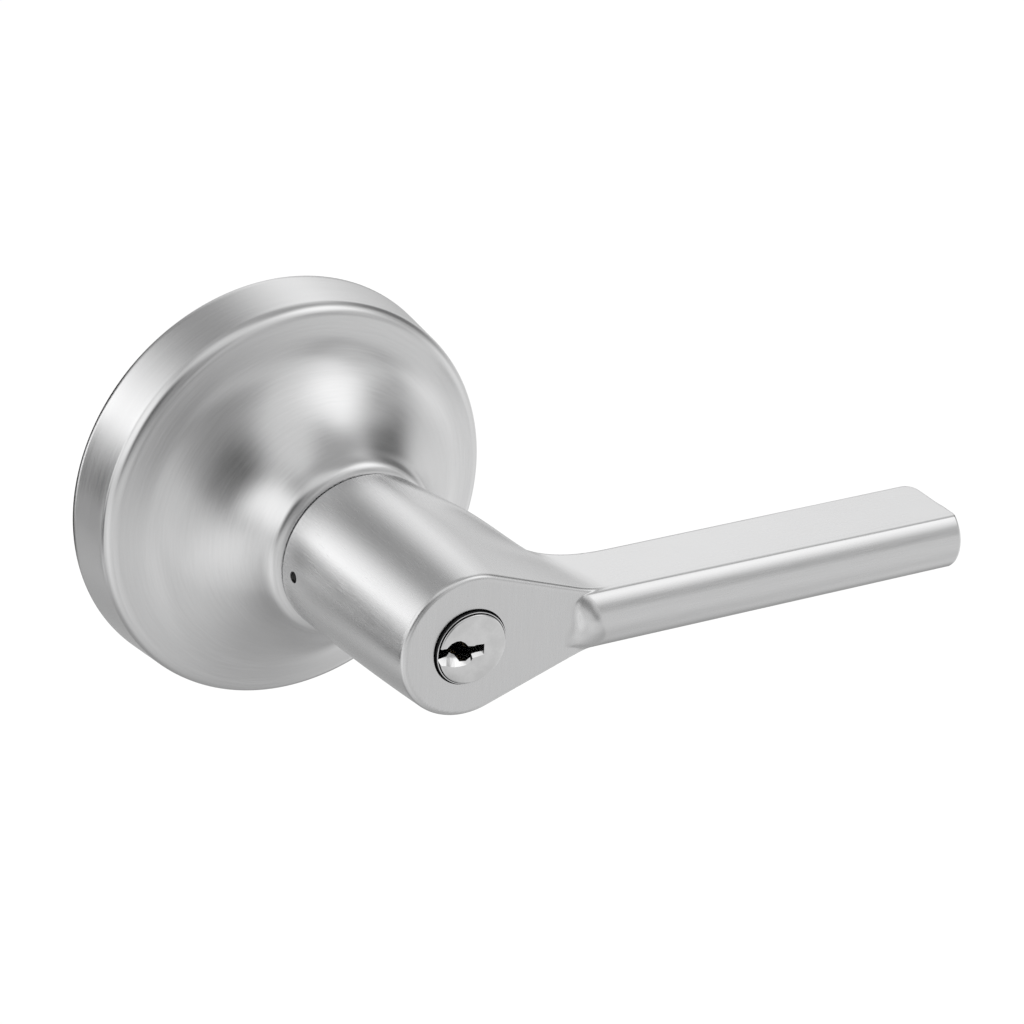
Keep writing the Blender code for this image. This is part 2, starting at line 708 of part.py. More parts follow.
def make_lever():
    lever = loft("lever", [neck_ring(y) for y in NECK_RINGS_Y])
    join(lever, loft("lever_blade", [blade_ring(x) for x in BLADE_RINGS_X]))
    # bore for the tube, from the back, and its key
    cut(lever, rod("bore_tube", LEVER_BORE, TUBE_FRONT_Y - 0.4, NECK_BACK_Y + 4, 48))
    join(lever, block("bore_key", (-2.4, -51.5, 9.6), (2.4, -45.2, 13.4)))
    # room for the cylinder's housing and its pin block
    cut(lever, rod("bore_housing", HOUSING_HOLE, -88.0, HOUSING_HOLE_BACK_Y, 40))
    half = PIN_BLOCK_HALF + 0.25
    pin_room = block(
        "bore_pins", (0.0, -80.2, -half), (PIN_BLOCK_X + 0.9, HOUSING_HOLE_BACK_Y, half)
    )
    cut(lever, pin_room)
    # seat of the catch inside the neck, and the small release hole through it
    seat = rod("bore_catch", CATCH_RADIUS + 0.2, -15.4, -8.0, 20, ALONG_X)
    cut(lever, shift(seat, y=CATCH_Y))
    release = rod("bore_release", RELEASE_HOLE_RADIUS, -22.0, -12.0, 16, ALONG_X)
    cut(lever, shift(release, y=CATCH_Y))
    place(lever, LEVER_PIVOT, "satin")


# ------------------------------------------------------------- key cylinder
def cut_chambers(obj, prefix, low, high):
    """Holes for the pins, along X."""
    for number, y in enumerate(PINS_Y, 1):
        chamber = rod("%s_%d" % (prefix, number), PIN_HOLE, low, high, 16, ALONG_X)
        cut(obj, shift(chamber, y=y))


def make_housing():
    bore = PLUG_RADIUS + PLUG_GAP
    head_bore = PLUG_HEAD_RADIUS + PLUG_GAP
    step = PLUG_HEAD_BACK_Y + 0.3
    profile = [
        (bore, HOUSING_BACK_Y), (HOUSING_RADIUS, HOUSING_BACK_Y),
        (HOUSING_RADIUS, HOUSING_FACE_Y), (head_bore, HOUSING_FACE_Y),
        (head_bore, step), (bore, step),
    ]
    housing = as_mesh(turned("cylinder_housing", profile, 40))
    pin_block = block(
        "pin_block",
        (PLUG_RADIUS + 0.7, -79.6, -PIN_BLOCK_HALF),
        (PIN_BLOCK_X, HOUSING_BACK_Y, PIN_BLOCK_HALF),
    )
    join(housing, pin_block)
    cut_chambers(housing, "chamber", 3.0, 16.0)
    place(housing, LEVER_PIVOT, "brass")


def make_spring_cover():
    """Thin strip over the outer end of the pin block."""
    half = PIN_BLOCK_HALF - 0.2
    cover = block(
        "pin_spring_cover",
        (PIN_BLOCK_X + 0.15, -79.4, -half),
        (PIN_BLOCK_X + 0.65, HOUSING_BACK_Y - 0.2, half),
    )
    place(cover, LEVER_PIVOT, "brass")


def make_plug():
    socket_floor = PLUG_BACK_Y + PLUG_SOCKET_DEPTH
    profile = [
        (0.0, PLUG_FACE_Y), (PLUG_HEAD_RADIUS - 0.45, PLUG_FACE_Y),
        (PLUG_HEAD_RADIUS, PLUG_FACE_Y + 0.45), (PLUG_HEAD_RADIUS, PLUG_HEAD_BACK_Y),
        (PLUG_RADIUS, PLUG_HEAD_BACK_Y), (PLUG_RADIUS, PLUG_BACK_Y),
        (PLUG_SOCKET_RADIUS, PLUG_BACK_Y), (PLUG_SOCKET_RADIUS, socket_floor),
        (0.0, socket_floor),
    ]
    plug = as_mesh(turned("key_plug", profile, 40))
    cut(plug, as_mesh(plate("keyway_cut", [KEYWAY], -90.0, -56.0)))
    cut_chambers(plug, "plug_chamber", 1.2, 9.0)
    # slot across the back for the tailpiece
    half_width, half_thick = TAIL_HALF_WIDTH + 0.2, TAIL_HALF_THICK + 0.15
    slot = block(
        "tail_slot",
        (-half_width, PLUG_BACK_Y + 1.2, -half_thick),
        (half_width, PLUG_BACK_Y + 6.0, half_thick),
    )
    cut(plug, slot)
    place(plug, PLUG_PIVOT, "bright")


def make_pin_stack(number, y, length):
    """Key pin, driver pin and spring, standing as with the right key in the plug."""
    top = KEY_PIN_TOP_X
    bottom = top - length
    profile = [
        (0.0, bottom), (0.35, bottom), (PIN_RADIUS, bottom + 0.8),
        (PIN_RADIUS, top - 0.3), (PIN_RADIUS - 0.35, top), (0.0, top),
    ]
    key_pin = turned("key_pin_%d" % number, profile, 14, ALONG_X)
    place(shift(key_pin, y=y), PLUG_PIVOT, "brass")

    low = DRIVER_PIN_LOW_X
    shoulder = low + DRIVER_PIN_BODY
    stem_end = shoulder + DRIVER_PIN_STEM
    profile = [
        (0.0, low), (PIN_RADIUS - 0.25, low), (PIN_RADIUS, low + 0.25),
        (PIN_RADIUS, shoulder), (0.7, shoulder), (0.7, stem_end), (0.0, stem_end),
    ]
    driver_pin = turned("driver_pin_%d" % number, profile, 14, ALONG_X)
    place(shift(driver_pin, y=y), LEVER_PIVOT, "brass")

    path = path_along_x(shoulder + 0.3, PIN_BLOCK_X - 0.15, y)
    spring = coil("pin_spring_%d" % number, path, radius=1.1, turns=3, wire=0.3, per_turn=7)
    place(spring, LEVER_PIVOT, "spring")


def make_plug_cap():
    """Ring that holds the plug in the housing."""
    loops = [circle(HOUSING_RADIUS - 0.3, 24), circle(PLUG_SOCKET_RADIUS + 0.15, 24)]
    cap = plate("plug_cap", loops, PLUG_BACK_Y + 0.25, PLUG_BACK_Y + 2.6)
    place(cap, PLUG_PIVOT, "brass")


def make_tailpiece():
    """Flat bar from the back of the plug through the tube."""
    tail = block(
        "tailpiece",
        (-TAIL_HALF_WIDTH, PLUG_BACK_Y + 1.4, -TAIL_HALF_THICK),
        (TAIL_HALF_WIDTH, TAIL_END_Y, TAIL_HALF_THICK),
    )
    place(tail, PLUG_PIVOT, "steel")


# ----------------------------------------------------------------- assembly
make_rose()
make_liner()
make_cage()
make_cover()
for index, screw_angle in enumerate(SCREW_ANGLES, 1):
    make_cover_screw(index, screw_angle)
make_bush()
make_post("left", -1)
make_post("right", 1)
make_return_spring("right", 90 - SPRING_MARGIN, -90 + SPRING_MARGIN)
make_return_spring("left", 90 + SPRING_MARGIN, 270 - SPRING_MARGIN)

make_driver()
make_thrust_washer()
make_tube()
make_retaining_ring()
make_tail_guide()
make_catch()
make_catch_spring()
make_catch_bracket()
make_lever()

make_housing()
make_spring_cover()
make_plug()
for index, (pin_y, pin_length) in enumerate(zip(PINS_Y, KEY_PIN_LENGTHS), 1):
    make_pin_stack(index, pin_y, pin_length)
make_plug_cap()
make_tailpiece()

# smooth shading, with the edges sharper than the limit kept crisp
for part in PARTS.objects:
    if part.type == "MESH":
        smooth(part.data)
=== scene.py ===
"""Looks of a lever handle lockset: fine surfaces, finishes, light and camera.

Lengths are millimetres in the frame of the part unless said otherwise. The lever
turns about the Y axis, the door face is y = 0, the room is on -Y, the blade
points along +X and +Z is up. "Face" is the room side of a piece.
"""

import json
from math import cos, hypot, pi, radians, sin, sqrt

import bmesh
import bpy
import numpy as np
from mathutils import Matrix, Vector

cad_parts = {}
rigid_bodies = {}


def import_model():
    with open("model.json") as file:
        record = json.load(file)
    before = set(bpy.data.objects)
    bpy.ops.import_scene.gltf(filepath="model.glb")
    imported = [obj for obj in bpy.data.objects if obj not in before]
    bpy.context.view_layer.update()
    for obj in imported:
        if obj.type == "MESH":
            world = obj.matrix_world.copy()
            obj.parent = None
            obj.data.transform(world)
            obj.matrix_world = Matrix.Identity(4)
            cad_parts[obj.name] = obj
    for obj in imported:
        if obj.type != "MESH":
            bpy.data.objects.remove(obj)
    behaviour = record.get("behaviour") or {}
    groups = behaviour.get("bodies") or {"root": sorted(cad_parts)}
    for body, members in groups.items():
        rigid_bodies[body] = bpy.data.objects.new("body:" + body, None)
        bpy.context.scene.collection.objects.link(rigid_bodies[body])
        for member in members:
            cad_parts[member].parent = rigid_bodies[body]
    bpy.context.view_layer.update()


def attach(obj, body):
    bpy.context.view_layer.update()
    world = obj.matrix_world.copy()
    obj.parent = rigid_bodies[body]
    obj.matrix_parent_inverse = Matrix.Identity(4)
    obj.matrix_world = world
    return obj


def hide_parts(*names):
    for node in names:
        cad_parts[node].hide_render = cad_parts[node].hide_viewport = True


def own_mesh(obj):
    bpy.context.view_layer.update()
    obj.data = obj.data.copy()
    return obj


for old in list(bpy.data.objects):
    bpy.data.objects.remove(old, do_unlink=True)

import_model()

MM = 0.001          # metres in a millimetre


# =========================================================== mesh toolbox
def add_object(name, data):
    obj = bpy.data.objects.new(name, data)
    bpy.context.scene.collection.objects.link(obj)
    return obj


def from_bmesh(name, shape):
    """An object from a bmesh, which is freed."""
    mesh = bpy.data.meshes.new(name)
    shape.to_mesh(mesh)
    shape.free()
    return add_object(name, mesh)


def new_object(name, verts, faces, angle=30):
    """An object from points in mm, shaded smooth with sharp edges kept."""
    mesh = bpy.data.meshes.new(name)
    mesh.from_pydata((np.asarray(verts, float) * MM).tolist(), [], [list(f) for f in faces])
    obj = add_object(name, mesh)
    tidy(obj, angle)
    return obj


def tidy(obj, angle=30):
    """Merges doubles, turns faces outwards and marks edges above the angle sharp."""
    shape = bmesh.new()
    shape.from_mesh(obj.data)
    bmesh.ops.remove_doubles(shape, verts=shape.verts, dist=2e-7)
    bmesh.ops.dissolve_degenerate(shape, dist=1e-8, edges=shape.edges)
    bmesh.ops.recalc_face_normals(shape, faces=shape.faces)
    shape.to_mesh(obj.data)
    shape.free()
    obj.data.shade_smooth()
    obj.data.set_sharp_from_angle(angle=radians(angle))


def rounded(points, radius=0.2, own=None, steps=5):
    """A closed outline with its corners rounded; own gives radii by corner number."""
    own = own or {}
    out = []
    for i, corner in enumerate(points):
        bend = own.get(i, radius)
        back = np.array(points[i - 1], float) - corner
        ahead = np.array(points[(i + 1) % len(points)], float) - corner
        back_length, ahead_length = np.linalg.norm(back), np.linalg.norm(ahead)
        if bend <= 0 or back_length < 1e-9 or ahead_length < 1e-9:
            out.append(tuple(corner))
            continue
        back, ahead = back / back_length, ahead / ahead_length
        angle = np.arccos(np.clip(back @ ahead, -1, 1))
        if angle > radians(172) or angle < radians(4):
            out.append(tuple(corner))
            continue
        reach = min(bend / np.tan(angle / 2), 0.45 * back_length, 0.45 * ahead_length)
        bend = reach * np.tan(angle / 2)
        start, end = corner + back * reach, corner + ahead * reach
        middle = (back + ahead) / np.linalg.norm(back + ahead)
        centre = np.array(corner) + middle * (bend / np.sin(angle / 2))
        first, last = start - centre, end - centre
        turn = np.arctan2(first[0] * last[1] - first[1] * last[0], first @ last)
        for k in range(steps + 1):
            c, s = cos(turn * k / steps), sin(turn * k / steps)
            out.append(tuple(centre + [first[0] * c - first[1] * s, first[0] * s + first[1] * c]))
    return out


def revolve(name, profile, segments, axis="Y", offset=(0, 0, 0), angle=30):
    """A closed profile of (radius, place along the axis) turned a full circle."""
    profile = np.array(profile, float)
    turns = 2 * pi * np.arange(segments) / segments
    cosine, sine = np.cos(turns)[:, None], np.sin(turns)[:, None]
    radius, along = profile[:, 0][None, :], profile[:, 1][None, :] + 0 * cosine
    if axis == "Y":
        sides = (radius * cosine, along, radius * sine)
    else:
        sides = (along, radius * cosine, radius * sine)
    verts = np.stack(sides, -1).reshape(-1, 3) + np.array(offset, float)
    count = len(profile)
    on_axis = profile[:, 0] < 1e-6
    faces = []
    for i in range(segments):
        j = (i + 1) % segments
        for k in range(count):
            m = (k + 1) % count
            if on_axis[k] and on_axis[m]:
                continue
            face = []
            for index in (i * count + k, j * count + k, j * count + m, i * count + m):
                row = index % count
                key = row if on_axis[row] else index    # copies of an axis point are one
                if key not in face:
                    face.append(key)
            faces.append(face)
    used = sorted({index for face in faces for index in face})
    place = {index: new for new, index in enumerate(used)}
    return new_object(name, verts[used], [[place[i] for i in face] for face in faces], angle)


def cylinder(name, radius, low, high, segments, axis="Y", offset=(0, 0, 0)):
    """A solid cylinder from low to high along its axis."""
    return revolve(
        name, [(0, low), (radius, low), (radius, high), (0, high)], segments, axis, offset
    )


def circle(radius, count, centre=(0.0, 0.0)):
    return [
        (centre[0] + radius * cos(2 * pi * i / count), centre[1] + radius * sin(2 * pi * i / count))
        for i in range(count)
    ]


def arc(radius, first, last, count):
    """Points about the origin between two angles in degrees, both included."""
    angles = [radians(first + (last - first) * i / (count - 1)) for i in range(count)]
    return [(radius * cos(a), radius * sin(a)) for a in angles]


def plate(name, loops, low, high, edge=0.15):
    """A flat outline of (x, z) loops from y = low to high, edges broken."""
    curve = bpy.data.curves.new(name, "CURVE")
    curve.dimensions = "2D"
    curve.fill_mode = "BOTH"
    curve.extrude = ((high - low) / 2 - edge) * MM
    curve.bevel_depth = edge * MM
    curve.bevel_resolution = 1
    curve.offset = -edge * MM
    for loop in loops:
        spline = curve.splines.new("POLY")
        spline.points.add(len(loop) - 1)
        for point, (x, z) in zip(spline.points, loop):
            point.co = (x * MM, -z * MM, 0.0, 1.0)
        spline.use_cyclic_u = True
    obj = add_object(name, curve)
    obj.matrix_world = Matrix.Translation((0, (low + high) / 2 * MM, 0)) @ Matrix.Rotation(
        radians(-90), 4, "X"
    )
    return apply(obj)


def apply(obj, angle=30):
    """The evaluated mesh of an object, as a plain mesh in its place."""
    bpy.context.view_layer.update()
    graph = bpy.context.evaluated_depsgraph_get()
    mesh = bpy.data.meshes.new_from_object(obj.evaluated_get(graph))
    mesh.transform(obj.matrix_world)
    name = obj.name
    bpy.data.objects.remove(obj, do_unlink=True)
    made = add_object(name, mesh)
    tidy(made, angle)
    return made


def solid_box(name, low, high, edge=0.2, segments=3):
    """A box between two corners with rounded edges."""
    shape = bmesh.new()
    bmesh.ops.create_cube(shape, size=1.0)
    size = Vector([(b - a) * MM for a, b in zip(low, high)])
    bmesh.ops.scale(shape, vec=size, verts=shape.verts)
    middle = Vector([(a + b) / 2 * MM for a, b in zip(low, high)])
    bmesh.ops.translate(shape, vec=middle, verts=shape.verts)
    if edge:
        bmesh.ops.bevel(
            shape,
            geom=shape.edges,
            offset=edge * MM,
            segments=segments,
            profile=0.5,
            affect="EDGES",
        )
    obj = from_bmesh(name, shape)
    tidy(obj)
    return obj


def combine(obj, others, operation="DIFFERENCE", angle=30):
    """Exact Booleans with each of the others, which are then removed."""
    for other in others:
        modifier = obj.modifiers.new("cut", "BOOLEAN")
        modifier.operation = operation
        modifier.object = other
        modifier.solver = "EXACT"
    made = apply(obj, angle)
    for other in others:
        bpy.data.objects.remove(other, do_unlink=True)
    return made


def wire(name, points, radius, sides):
    """A round wire along a dense path of points, its ends bevelled."""
    points = np.array(points, float)
    tangents = np.gradient(points, axis=0)
    tangents /= np.linalg.norm(tangents, axis=1)[:, None]
    side = np.cross(tangents[0], [0.3, 0.5, 0.8])
    side /= np.linalg.norm(side)
    frames = []
    for point, tangent in zip(points, tangents):
        side = side - (side @ tangent) * tangent    # carried along without twist
        side /= np.linalg.norm(side)
        frames.append((point, tangent, side, np.cross(tangent, side)))
    turns = 2 * pi * np.arange(sides) / sides

    def ring(k, scale, shift):
        point, tangent, across, up = frames[k]
        return (
            point
            + tangent * shift * radius
            + scale * radius * (np.cos(turns)[:, None] * across + np.sin(turns)[:, None] * up)
        )

    rings = [ring(0, 0.72, -0.22)]
    rings += [ring(k, 1.0, 0.0) for k in range(len(points))]
    rings.append(ring(len(points) - 1, 0.72, 0.22))
    faces = []
    for k in range(len(rings) - 1):
        for i in range(sides):
            j = (i + 1) % sides
            faces.append((k * sides + i, k * sides + j, (k + 1) * sides + j, (k + 1) * sides + i))
    faces.append(tuple(range(sides))[::-1])
    last = (len(rings) - 1) * sides
    faces.append(tuple(last + i for i in range(sides)))
    return new_object(name, np.concatenate(rings), faces, 40)


def coil(name, path, radius, turns, gauge, per_turn, sides):
    """A coil of wire; path(0..1) gives its centre and the two axes of its section."""
    count = int(round(turns * per_turn)) + 1
    points = []
    for i in range(count):
        t = i / (count - 1)
        centre, first, second = path(t)
        a = 2 * pi * turns * t
        section = np.array(first) * cos(a) + np.array(second) * sin(a)
        points.append(np.array(centre) + section * radius)
    return wire(name, points, gauge / 2, sides)


def along_x(start, length, y):
    """Straight coil path along +X at height y."""
    return lambda t: ((start + length * t, y, 0), (0, 1, 0), (0, 0, 1))


# ================================================================== rose
ROSE_RADIUS = 44.45         # at the door
RIM_RADIUS = 43.55          # where the rim meets the shoulder
RIM_DEPTH = 10.8
SHOULDER = 3.4              # radius of the bend
WALL = 1.3                  # sheet
COLLAR_FACE = -38.0
COLLAR_BORE = 14.6
INNER_FACE = -35.8          # inside of the collar
LIP = (17.0, COLLAR_FACE)   # (radius, y) where the bell ends

# slope of the bell from its shoulder to its lip: (mm along it, degrees from flat)
BELL = (
    (0.0, 14.1), (1.5, 16.6), (3.0, 17.4), (4.5, 20.6), (6.0, 26.9), (7.5, 31.1),
    (9.0, 35.7), (10.5, 38.8), (12.0, 40.6), (14.0, 44.0), (16.0, 46.5), (18.0, 48.5),
    (21.0, 51.2), (24.0, 55.7), (26.5, 59.8), (28.5, 62.6), (30.5, 69.0), (31.5, 71.1),
    (32.5, 68.3), (33.5, 60.3), (34.5, 46.3), (35.4, 26.0), (36.1, 6.0),
)
BELL_STEP, BELL_BLUR = 0.05, 0.7


def bell():
    """The run from the shoulder to the lip, laid out by its slope, and its first slope."""
    length = BELL[-1][0]
    along = np.arange(-4.0, length + 4.0, BELL_STEP)
    slope = np.interp(along, [k[0] for k in BELL], [k[1] for k in BELL])
    kernel = np.exp(-0.5 * (np.arange(-2.5, 2.51, BELL_STEP) / BELL_BLUR) ** 2)
    padded = np.pad(slope, len(kernel) // 2, mode="edge")
    slope = np.convolve(padded, kernel / kernel.sum(), mode="valid")
    slope = np.radians(slope[(along >= -1e-9) & (along <= length + 1e-9)])
    first = slope[0]
    start = np.array(
        [RIM_RADIUS - SHOULDER + SHOULDER * sin(first), -RIM_DEPTH - SHOULDER * cos(first)]
    )
    move = np.stack([-np.cos(slope), -np.sin(slope)], 1)
    steps = np.cumsum((move[1:] + move[:-1]) / 2 * BELL_STEP, 0)
    path = start + np.concatenate([[[0.0, 0.0]], steps])
    reach = (np.array(LIP) - start) / (path[-1] - start)    # stretch that lands on the lip
    return start + (path - start) * reach, first


def rose_profile():
    """Closed (radius, y) section of the sheet."""
    outer = [(ROSE_RADIUS - 0.25, -0.0), (ROSE_RADIUS - 0.07, -0.08), (ROSE_RADIUS, -0.3)]
    for i in range(1, 11):
        k = i / 10
        outer.append((ROSE_RADIUS + (RIM_RADIUS - ROSE_RADIUS) * k, -0.3 + (-RIM_DEPTH + 0.3) * k))
    run, first = bell()
    for i in range(0, 17):
        a = radians(85.0) + (first - radians(85.0)) * i / 16
        outer.append((RIM_RADIUS - SHOULDER + SHOULDER * sin(a), -RIM_DEPTH - SHOULDER * cos(a)))
    outer += [tuple(p) for p in run[8::8]]
    outer += [LIP, (COLLAR_BORE + 0.25, COLLAR_FACE), (COLLAR_BORE, COLLAR_FACE + 0.25)]

    inner = [(ROSE_RADIUS - WALL, 0.0), (RIM_RADIUS - WALL, -RIM_DEPTH)]
    bend = SHOULDER - WALL
    for i in range(1, 9):
        a = radians(90 * i / 8)
        inner.append((RIM_RADIUS - SHOULDER + bend * cos(a), -RIM_DEPTH - bend * sin(a)))
    for i in range(20, len(run) - 160, 20):
        ahead = run[i + 1] - run[i - 1]
        ahead = ahead / hypot(*ahead) * WALL
        inner.append((run[i][0] + ahead[1], run[i][1] - ahead[0]))
    inner += [(18.7, -34.6), (17.6, -35.6), (16.4, INNER_FACE), (COLLAR_BORE, INNER_FACE)]
    return outer + inner[::-1]


# ================================================================= lever
# The section of the neck at each y is the hull of two circles: one on the
# axis and a nose towards +X.
NECK = (  # y, x of the nose centre, nose radius
    (-38.4, 0.8, 17.1),
    (-45.0, 3.9, 16.3),
    (-52.0, 8.8, 14.6),
    (-58.0, 13.8, 11.7),
    (-62.5, 18.6, 8.8),
    (-66.5, 24.0, 6.1),
    (-83.0, 27.7, 6.1),
)
NECK_STEP, NECK_BLUR = 0.25, 1.8
FACE_Y, BACK_Y = -83.0, -38.4
FACE_RADIUS, SWELL, FALL = 15.0, 3.5, -1.32     # circle on the axis: constant, linear, square
FACE_EDGE, REAR_EDGE = 1.05, 0.5
REAR_RUN = 12.5                                 # blend of the blade's back into the neck

BLADE_HALF = 6.1                                # half height of the blade, along z
BLADE_START, TIP_X = 20.0, 114.85
BLADE_BACK, CROWN = -67.6, 1.9                  # y of the back's edges, depth of its crown
NOSE_Y, NOSE_RADIUS = -79.1, 7.3                # rounded front of the blade


def neck_tables():
    """Dense y with the nose centre and radius there, extended and smoothed."""
    y = np.arange(-96.0, -26.0, NECK_STEP)
    stations = NECK[::-1]
    ys = [s[0] for s in stations]
    kernel = np.exp(-0.5 * (np.arange(-7.0, 7.01, NECK_STEP) / NECK_BLUR) ** 2)
    kernel /= kernel.sum()
    tables = []
    for column in (1, 2):
        values = [s[column] for s in stations]
        first = (values[1] - values[0]) / (ys[1] - ys[0])
        last = (values[-1] - values[-2]) / (ys[-1] - ys[-2])
        line = np.interp(y, ys, values)
        line = np.where(y < ys[0], values[0] + first * (y - ys[0]), line)
        line = np.where(y > ys[-1], values[-1] + last * (y - ys[-1]), line)
        padded = np.pad(line, len(kernel) // 2, mode="reflect", reflect_type="odd")
        tables.append(np.convolve(padded, kernel, mode="valid"))
    return y, tables[0], tables[1]


TABLE_Y, TABLE_CENTRE, TABLE_RADIUS = neck_tables()


# Distance fields take a place (x, y, z) of arrays and are negative inside.
def hull_distance(x, y, z):
    """Distance in the section at y to the hull of its two circles."""
    t = (y - FACE_Y) / (BACK_Y - FACE_Y)
    radius = FACE_RADIUS + SWELL * t + FALL * t * t
    centre = np.interp(y, TABLE_Y, TABLE_CENTRE)
    nose = np.minimum(np.interp(y, TABLE_Y, TABLE_RADIUS), radius - 0.001)
    centre = np.maximum(centre, (radius - nose) * 1.02 + 1e-3)
    z = np.abs(z)
    sine = (radius - nose) / centre         # lean of the common tangent
    cosine = np.sqrt(np.maximum(1e-9, 1 - sine * sine))
    along = -sine * z + cosine * x
    return np.where(
        along < 0,
        np.hypot(x, z) - radius,
        np.where(
            along > cosine * centre,
            np.hypot(x - centre, z) - nose,
            cosine * z + sine * x - radius,
        ),
    )


def neck_distance(place):
    x, y, z = place
    distance = hull_distance(x, y, z)
    slope = (hull_distance(x, y + 0.2, z) - hull_distance(x, y - 0.2, z)) / 0.4
    return distance / np.sqrt(1 + slope**2)


def round_max(first, second, radius):
    """Intersection with its edge rounded."""
    outside = np.hypot(np.maximum(first + radius, 0), np.maximum(second + radius, 0))
    return np.minimum(-radius, np.maximum(first, second)) + outside


def soft_min(first, second, reach):
    """Union with a smooth run between the two, reach/6 deep where they are equal."""
    near = np.maximum(reach - np.abs(first - second), 0.0) / reach
    return np.minimum(first, second) - near * near * near * reach / 6.0


def step_up(value, low, high):
    """Smooth step from 0 at low to 1 at high."""
    t = np.clip((value - low) / (high - low), 0.0, 1.0)
    return t * t * (3 - 2 * t)


def half_width(x):
    """The blade draws in very slightly towards its tip."""
    return BLADE_HALF - 0.0036 * np.clip(x - 34.0, 0.0, 80.0)


def bar_distance(place, neck):
    """The flat-fronted part of the blade, crowned behind, with its run to the neck."""
    x, y, z = place
    side = np.abs(z) - half_width(x)
    radius = (BLADE_HALF**2 + CROWN**2) / (2 * CROWN)
    middle = BLADE_BACK + CROWN - radius
    back = np.where(y > middle, np.hypot(y - middle, z), np.abs(z)) - radius
    distance = round_max(soft_min(back, neck, REAR_RUN), x - TIP_X, radius=2.6)
    distance = round_max(distance, side, radius=0.5)
    return np.maximum(distance, BLADE_START - x)


def bull_distance(place):
    """The blade with its rounded front, which ends in a scooped ramp at the neck."""
    x, y, z = place
    side = np.abs(z) - half_width(x) + 0.8 * step_up(y, -79.0, -72.0)
    nose = np.where(y < NOSE_Y, np.hypot(y - NOSE_Y, z), np.abs(z)) - NOSE_RADIUS
    back = y - (BLADE_BACK - 2.0)
    distance = round_max(nose, x - TIP_X, radius=0.7)
    distance = round_max(distance, side, radius=0.22)
    distance = np.maximum(distance, back)
    low = step_up(-z, -2.0, 6.0)            # the ramp leans more towards -z
    lean = 0.55 + 0.35 * low
    wall = (23.9 + lean * (FACE_Y - y) - x) / np.sqrt(1 + lean**2)
    return round_max(distance, wall, 2.2 + 0.8 * low)


def flat_distance(place):
    """Neck and bar, cut flat at the face and at the rear."""
    y = place[1]
    neck = neck_distance(place)
    reach = 0.3 + 1.7 * step_up(-y, 58.0, 68.0)
    distance = soft_min(neck, bar_distance(place, neck), reach)
    distance = round_max(distance, FACE_Y - y, FACE_EDGE)
    return round_max(distance, y - BACK_Y, REAR_EDGE)


def lever_distance(place):
    """The whole lever; the blend at the ramp fades along the blade and at its sides."""
    x, _, z = place
    reach = (0.9 + 1.7 * step_up(-z, -2.0, 4.0)) * step_up(-x, -36.0, -28.0)
    reach = 0.05 + reach * np.maximum(0.3, step_up(BLADE_HALF - np.abs(z), 0.0, 1.6))
    return soft_min(flat_distance(place), bull_distance(place), reach)


def slope_of(field, place, step=0.02):
    """Unit gradient of a field, one array per axis."""
    x, y, z = place
    slope = [
        field((x + step, y, z)) - field((x - step, y, z)),
        field((x, y + step, z)) - field((x, y - step, z)),
        field((x, y, z + step)) - field((x, y, z - step)),
    ]
    length = np.sqrt(sum(k * k for k in slope)) + 1e-12
    return [k / length for k in slope]


def spans(*parts):
    """Grid lines: (start, end, step) joined end to end."""
    out = []
    for start, end, step in parts:
        count = max(1, int(round((end - start) / step)))
        out += [start + (end - start) * i / count for i in range(count)]
    out.append(parts[-1][1])
    return np.array(out)


def skin(field, xs, ys, zs):
    """The zero surface of a field on a rectilinear grid, as quads.

    Each cell that the surface passes through gets one point, the mean of the
    crossings on its edges; each crossed edge gets the quad of its four cells.
    """
    grid = np.meshgrid(xs, ys, zs, indexing="ij")
    values = np.empty(grid[0].shape)
    for i in range(0, len(xs), 16):         # in slabs, to save memory
        values[i : i + 16] = field(tuple(g[i : i + 16] for g in grid))
    cells = tuple(n - 1 for n in values.shape)
    total = np.zeros((*cells, 3))
    hits = np.zeros(cells)
    crossings = []
    for axis, lines in enumerate((xs, ys, zs)):
        low = [slice(None)] * 3
        high = [slice(None)] * 3
        low[axis], high[axis] = slice(None, -1), slice(1, None)
        start, end = values[tuple(low)], values[tuple(high)]
        change = (start < 0) != (end < 0)
        crossings.append((change, start < 0))
        t = np.where(change, start / np.where(change, start - end, 1.0), 0.0)
        point = [g[tuple(low)].copy() for g in grid]
        shape = [1, 1, 1]
        shape[axis] = -1
        point[axis] = point[axis] + t * np.diff(lines).reshape(shape)
        point = np.stack(point, -1)
        others = [k for k in range(3) if k != axis]
        for i in (0, 1):
            for j in (0, 1):
                source = [slice(None)] * 3
                source[others[0]] = slice(1 - i, start.shape[others[0]] - i)
                source[others[1]] = slice(1 - j, start.shape[others[1]] - j)
                crossed = change[tuple(source)]
                total += np.where(crossed[..., None], point[tuple(source)], 0.0)
                hits += crossed
    active = hits > 0
    index = -np.ones(active.shape, int)
    index[active] = np.arange(active.sum())
    verts = total[active] / hits[active][:, None]
    faces = []
    for axis, (change, starts_inside) in enumerate(crossings):
        first, second = [k for k in range(3) if k != axis]
        edges = np.argwhere(change)
        edges = edges[
            (edges[:, first] > 0)
            & (edges[:, second] > 0)
            & (edges[:, first] < index.shape[first])
            & (edges[:, second] < index.shape[second])
        ]
        inside = starts_inside[tuple(edges.T)]
        corners = []
        for i, j in ((1, 1), (0, 1), (0, 0), (1, 0)):
            cell = edges.copy()
            cell[:, first] -= i
            cell[:, second] -= j
            corners.append(index[tuple(cell.T)])
        quads = np.stack(corners, 1)
        keep = inside if axis != 1 else ~inside
        quads[~keep] = quads[~keep][:, ::-1]
        faces.append(quads)
    return verts, np.concatenate(faces)


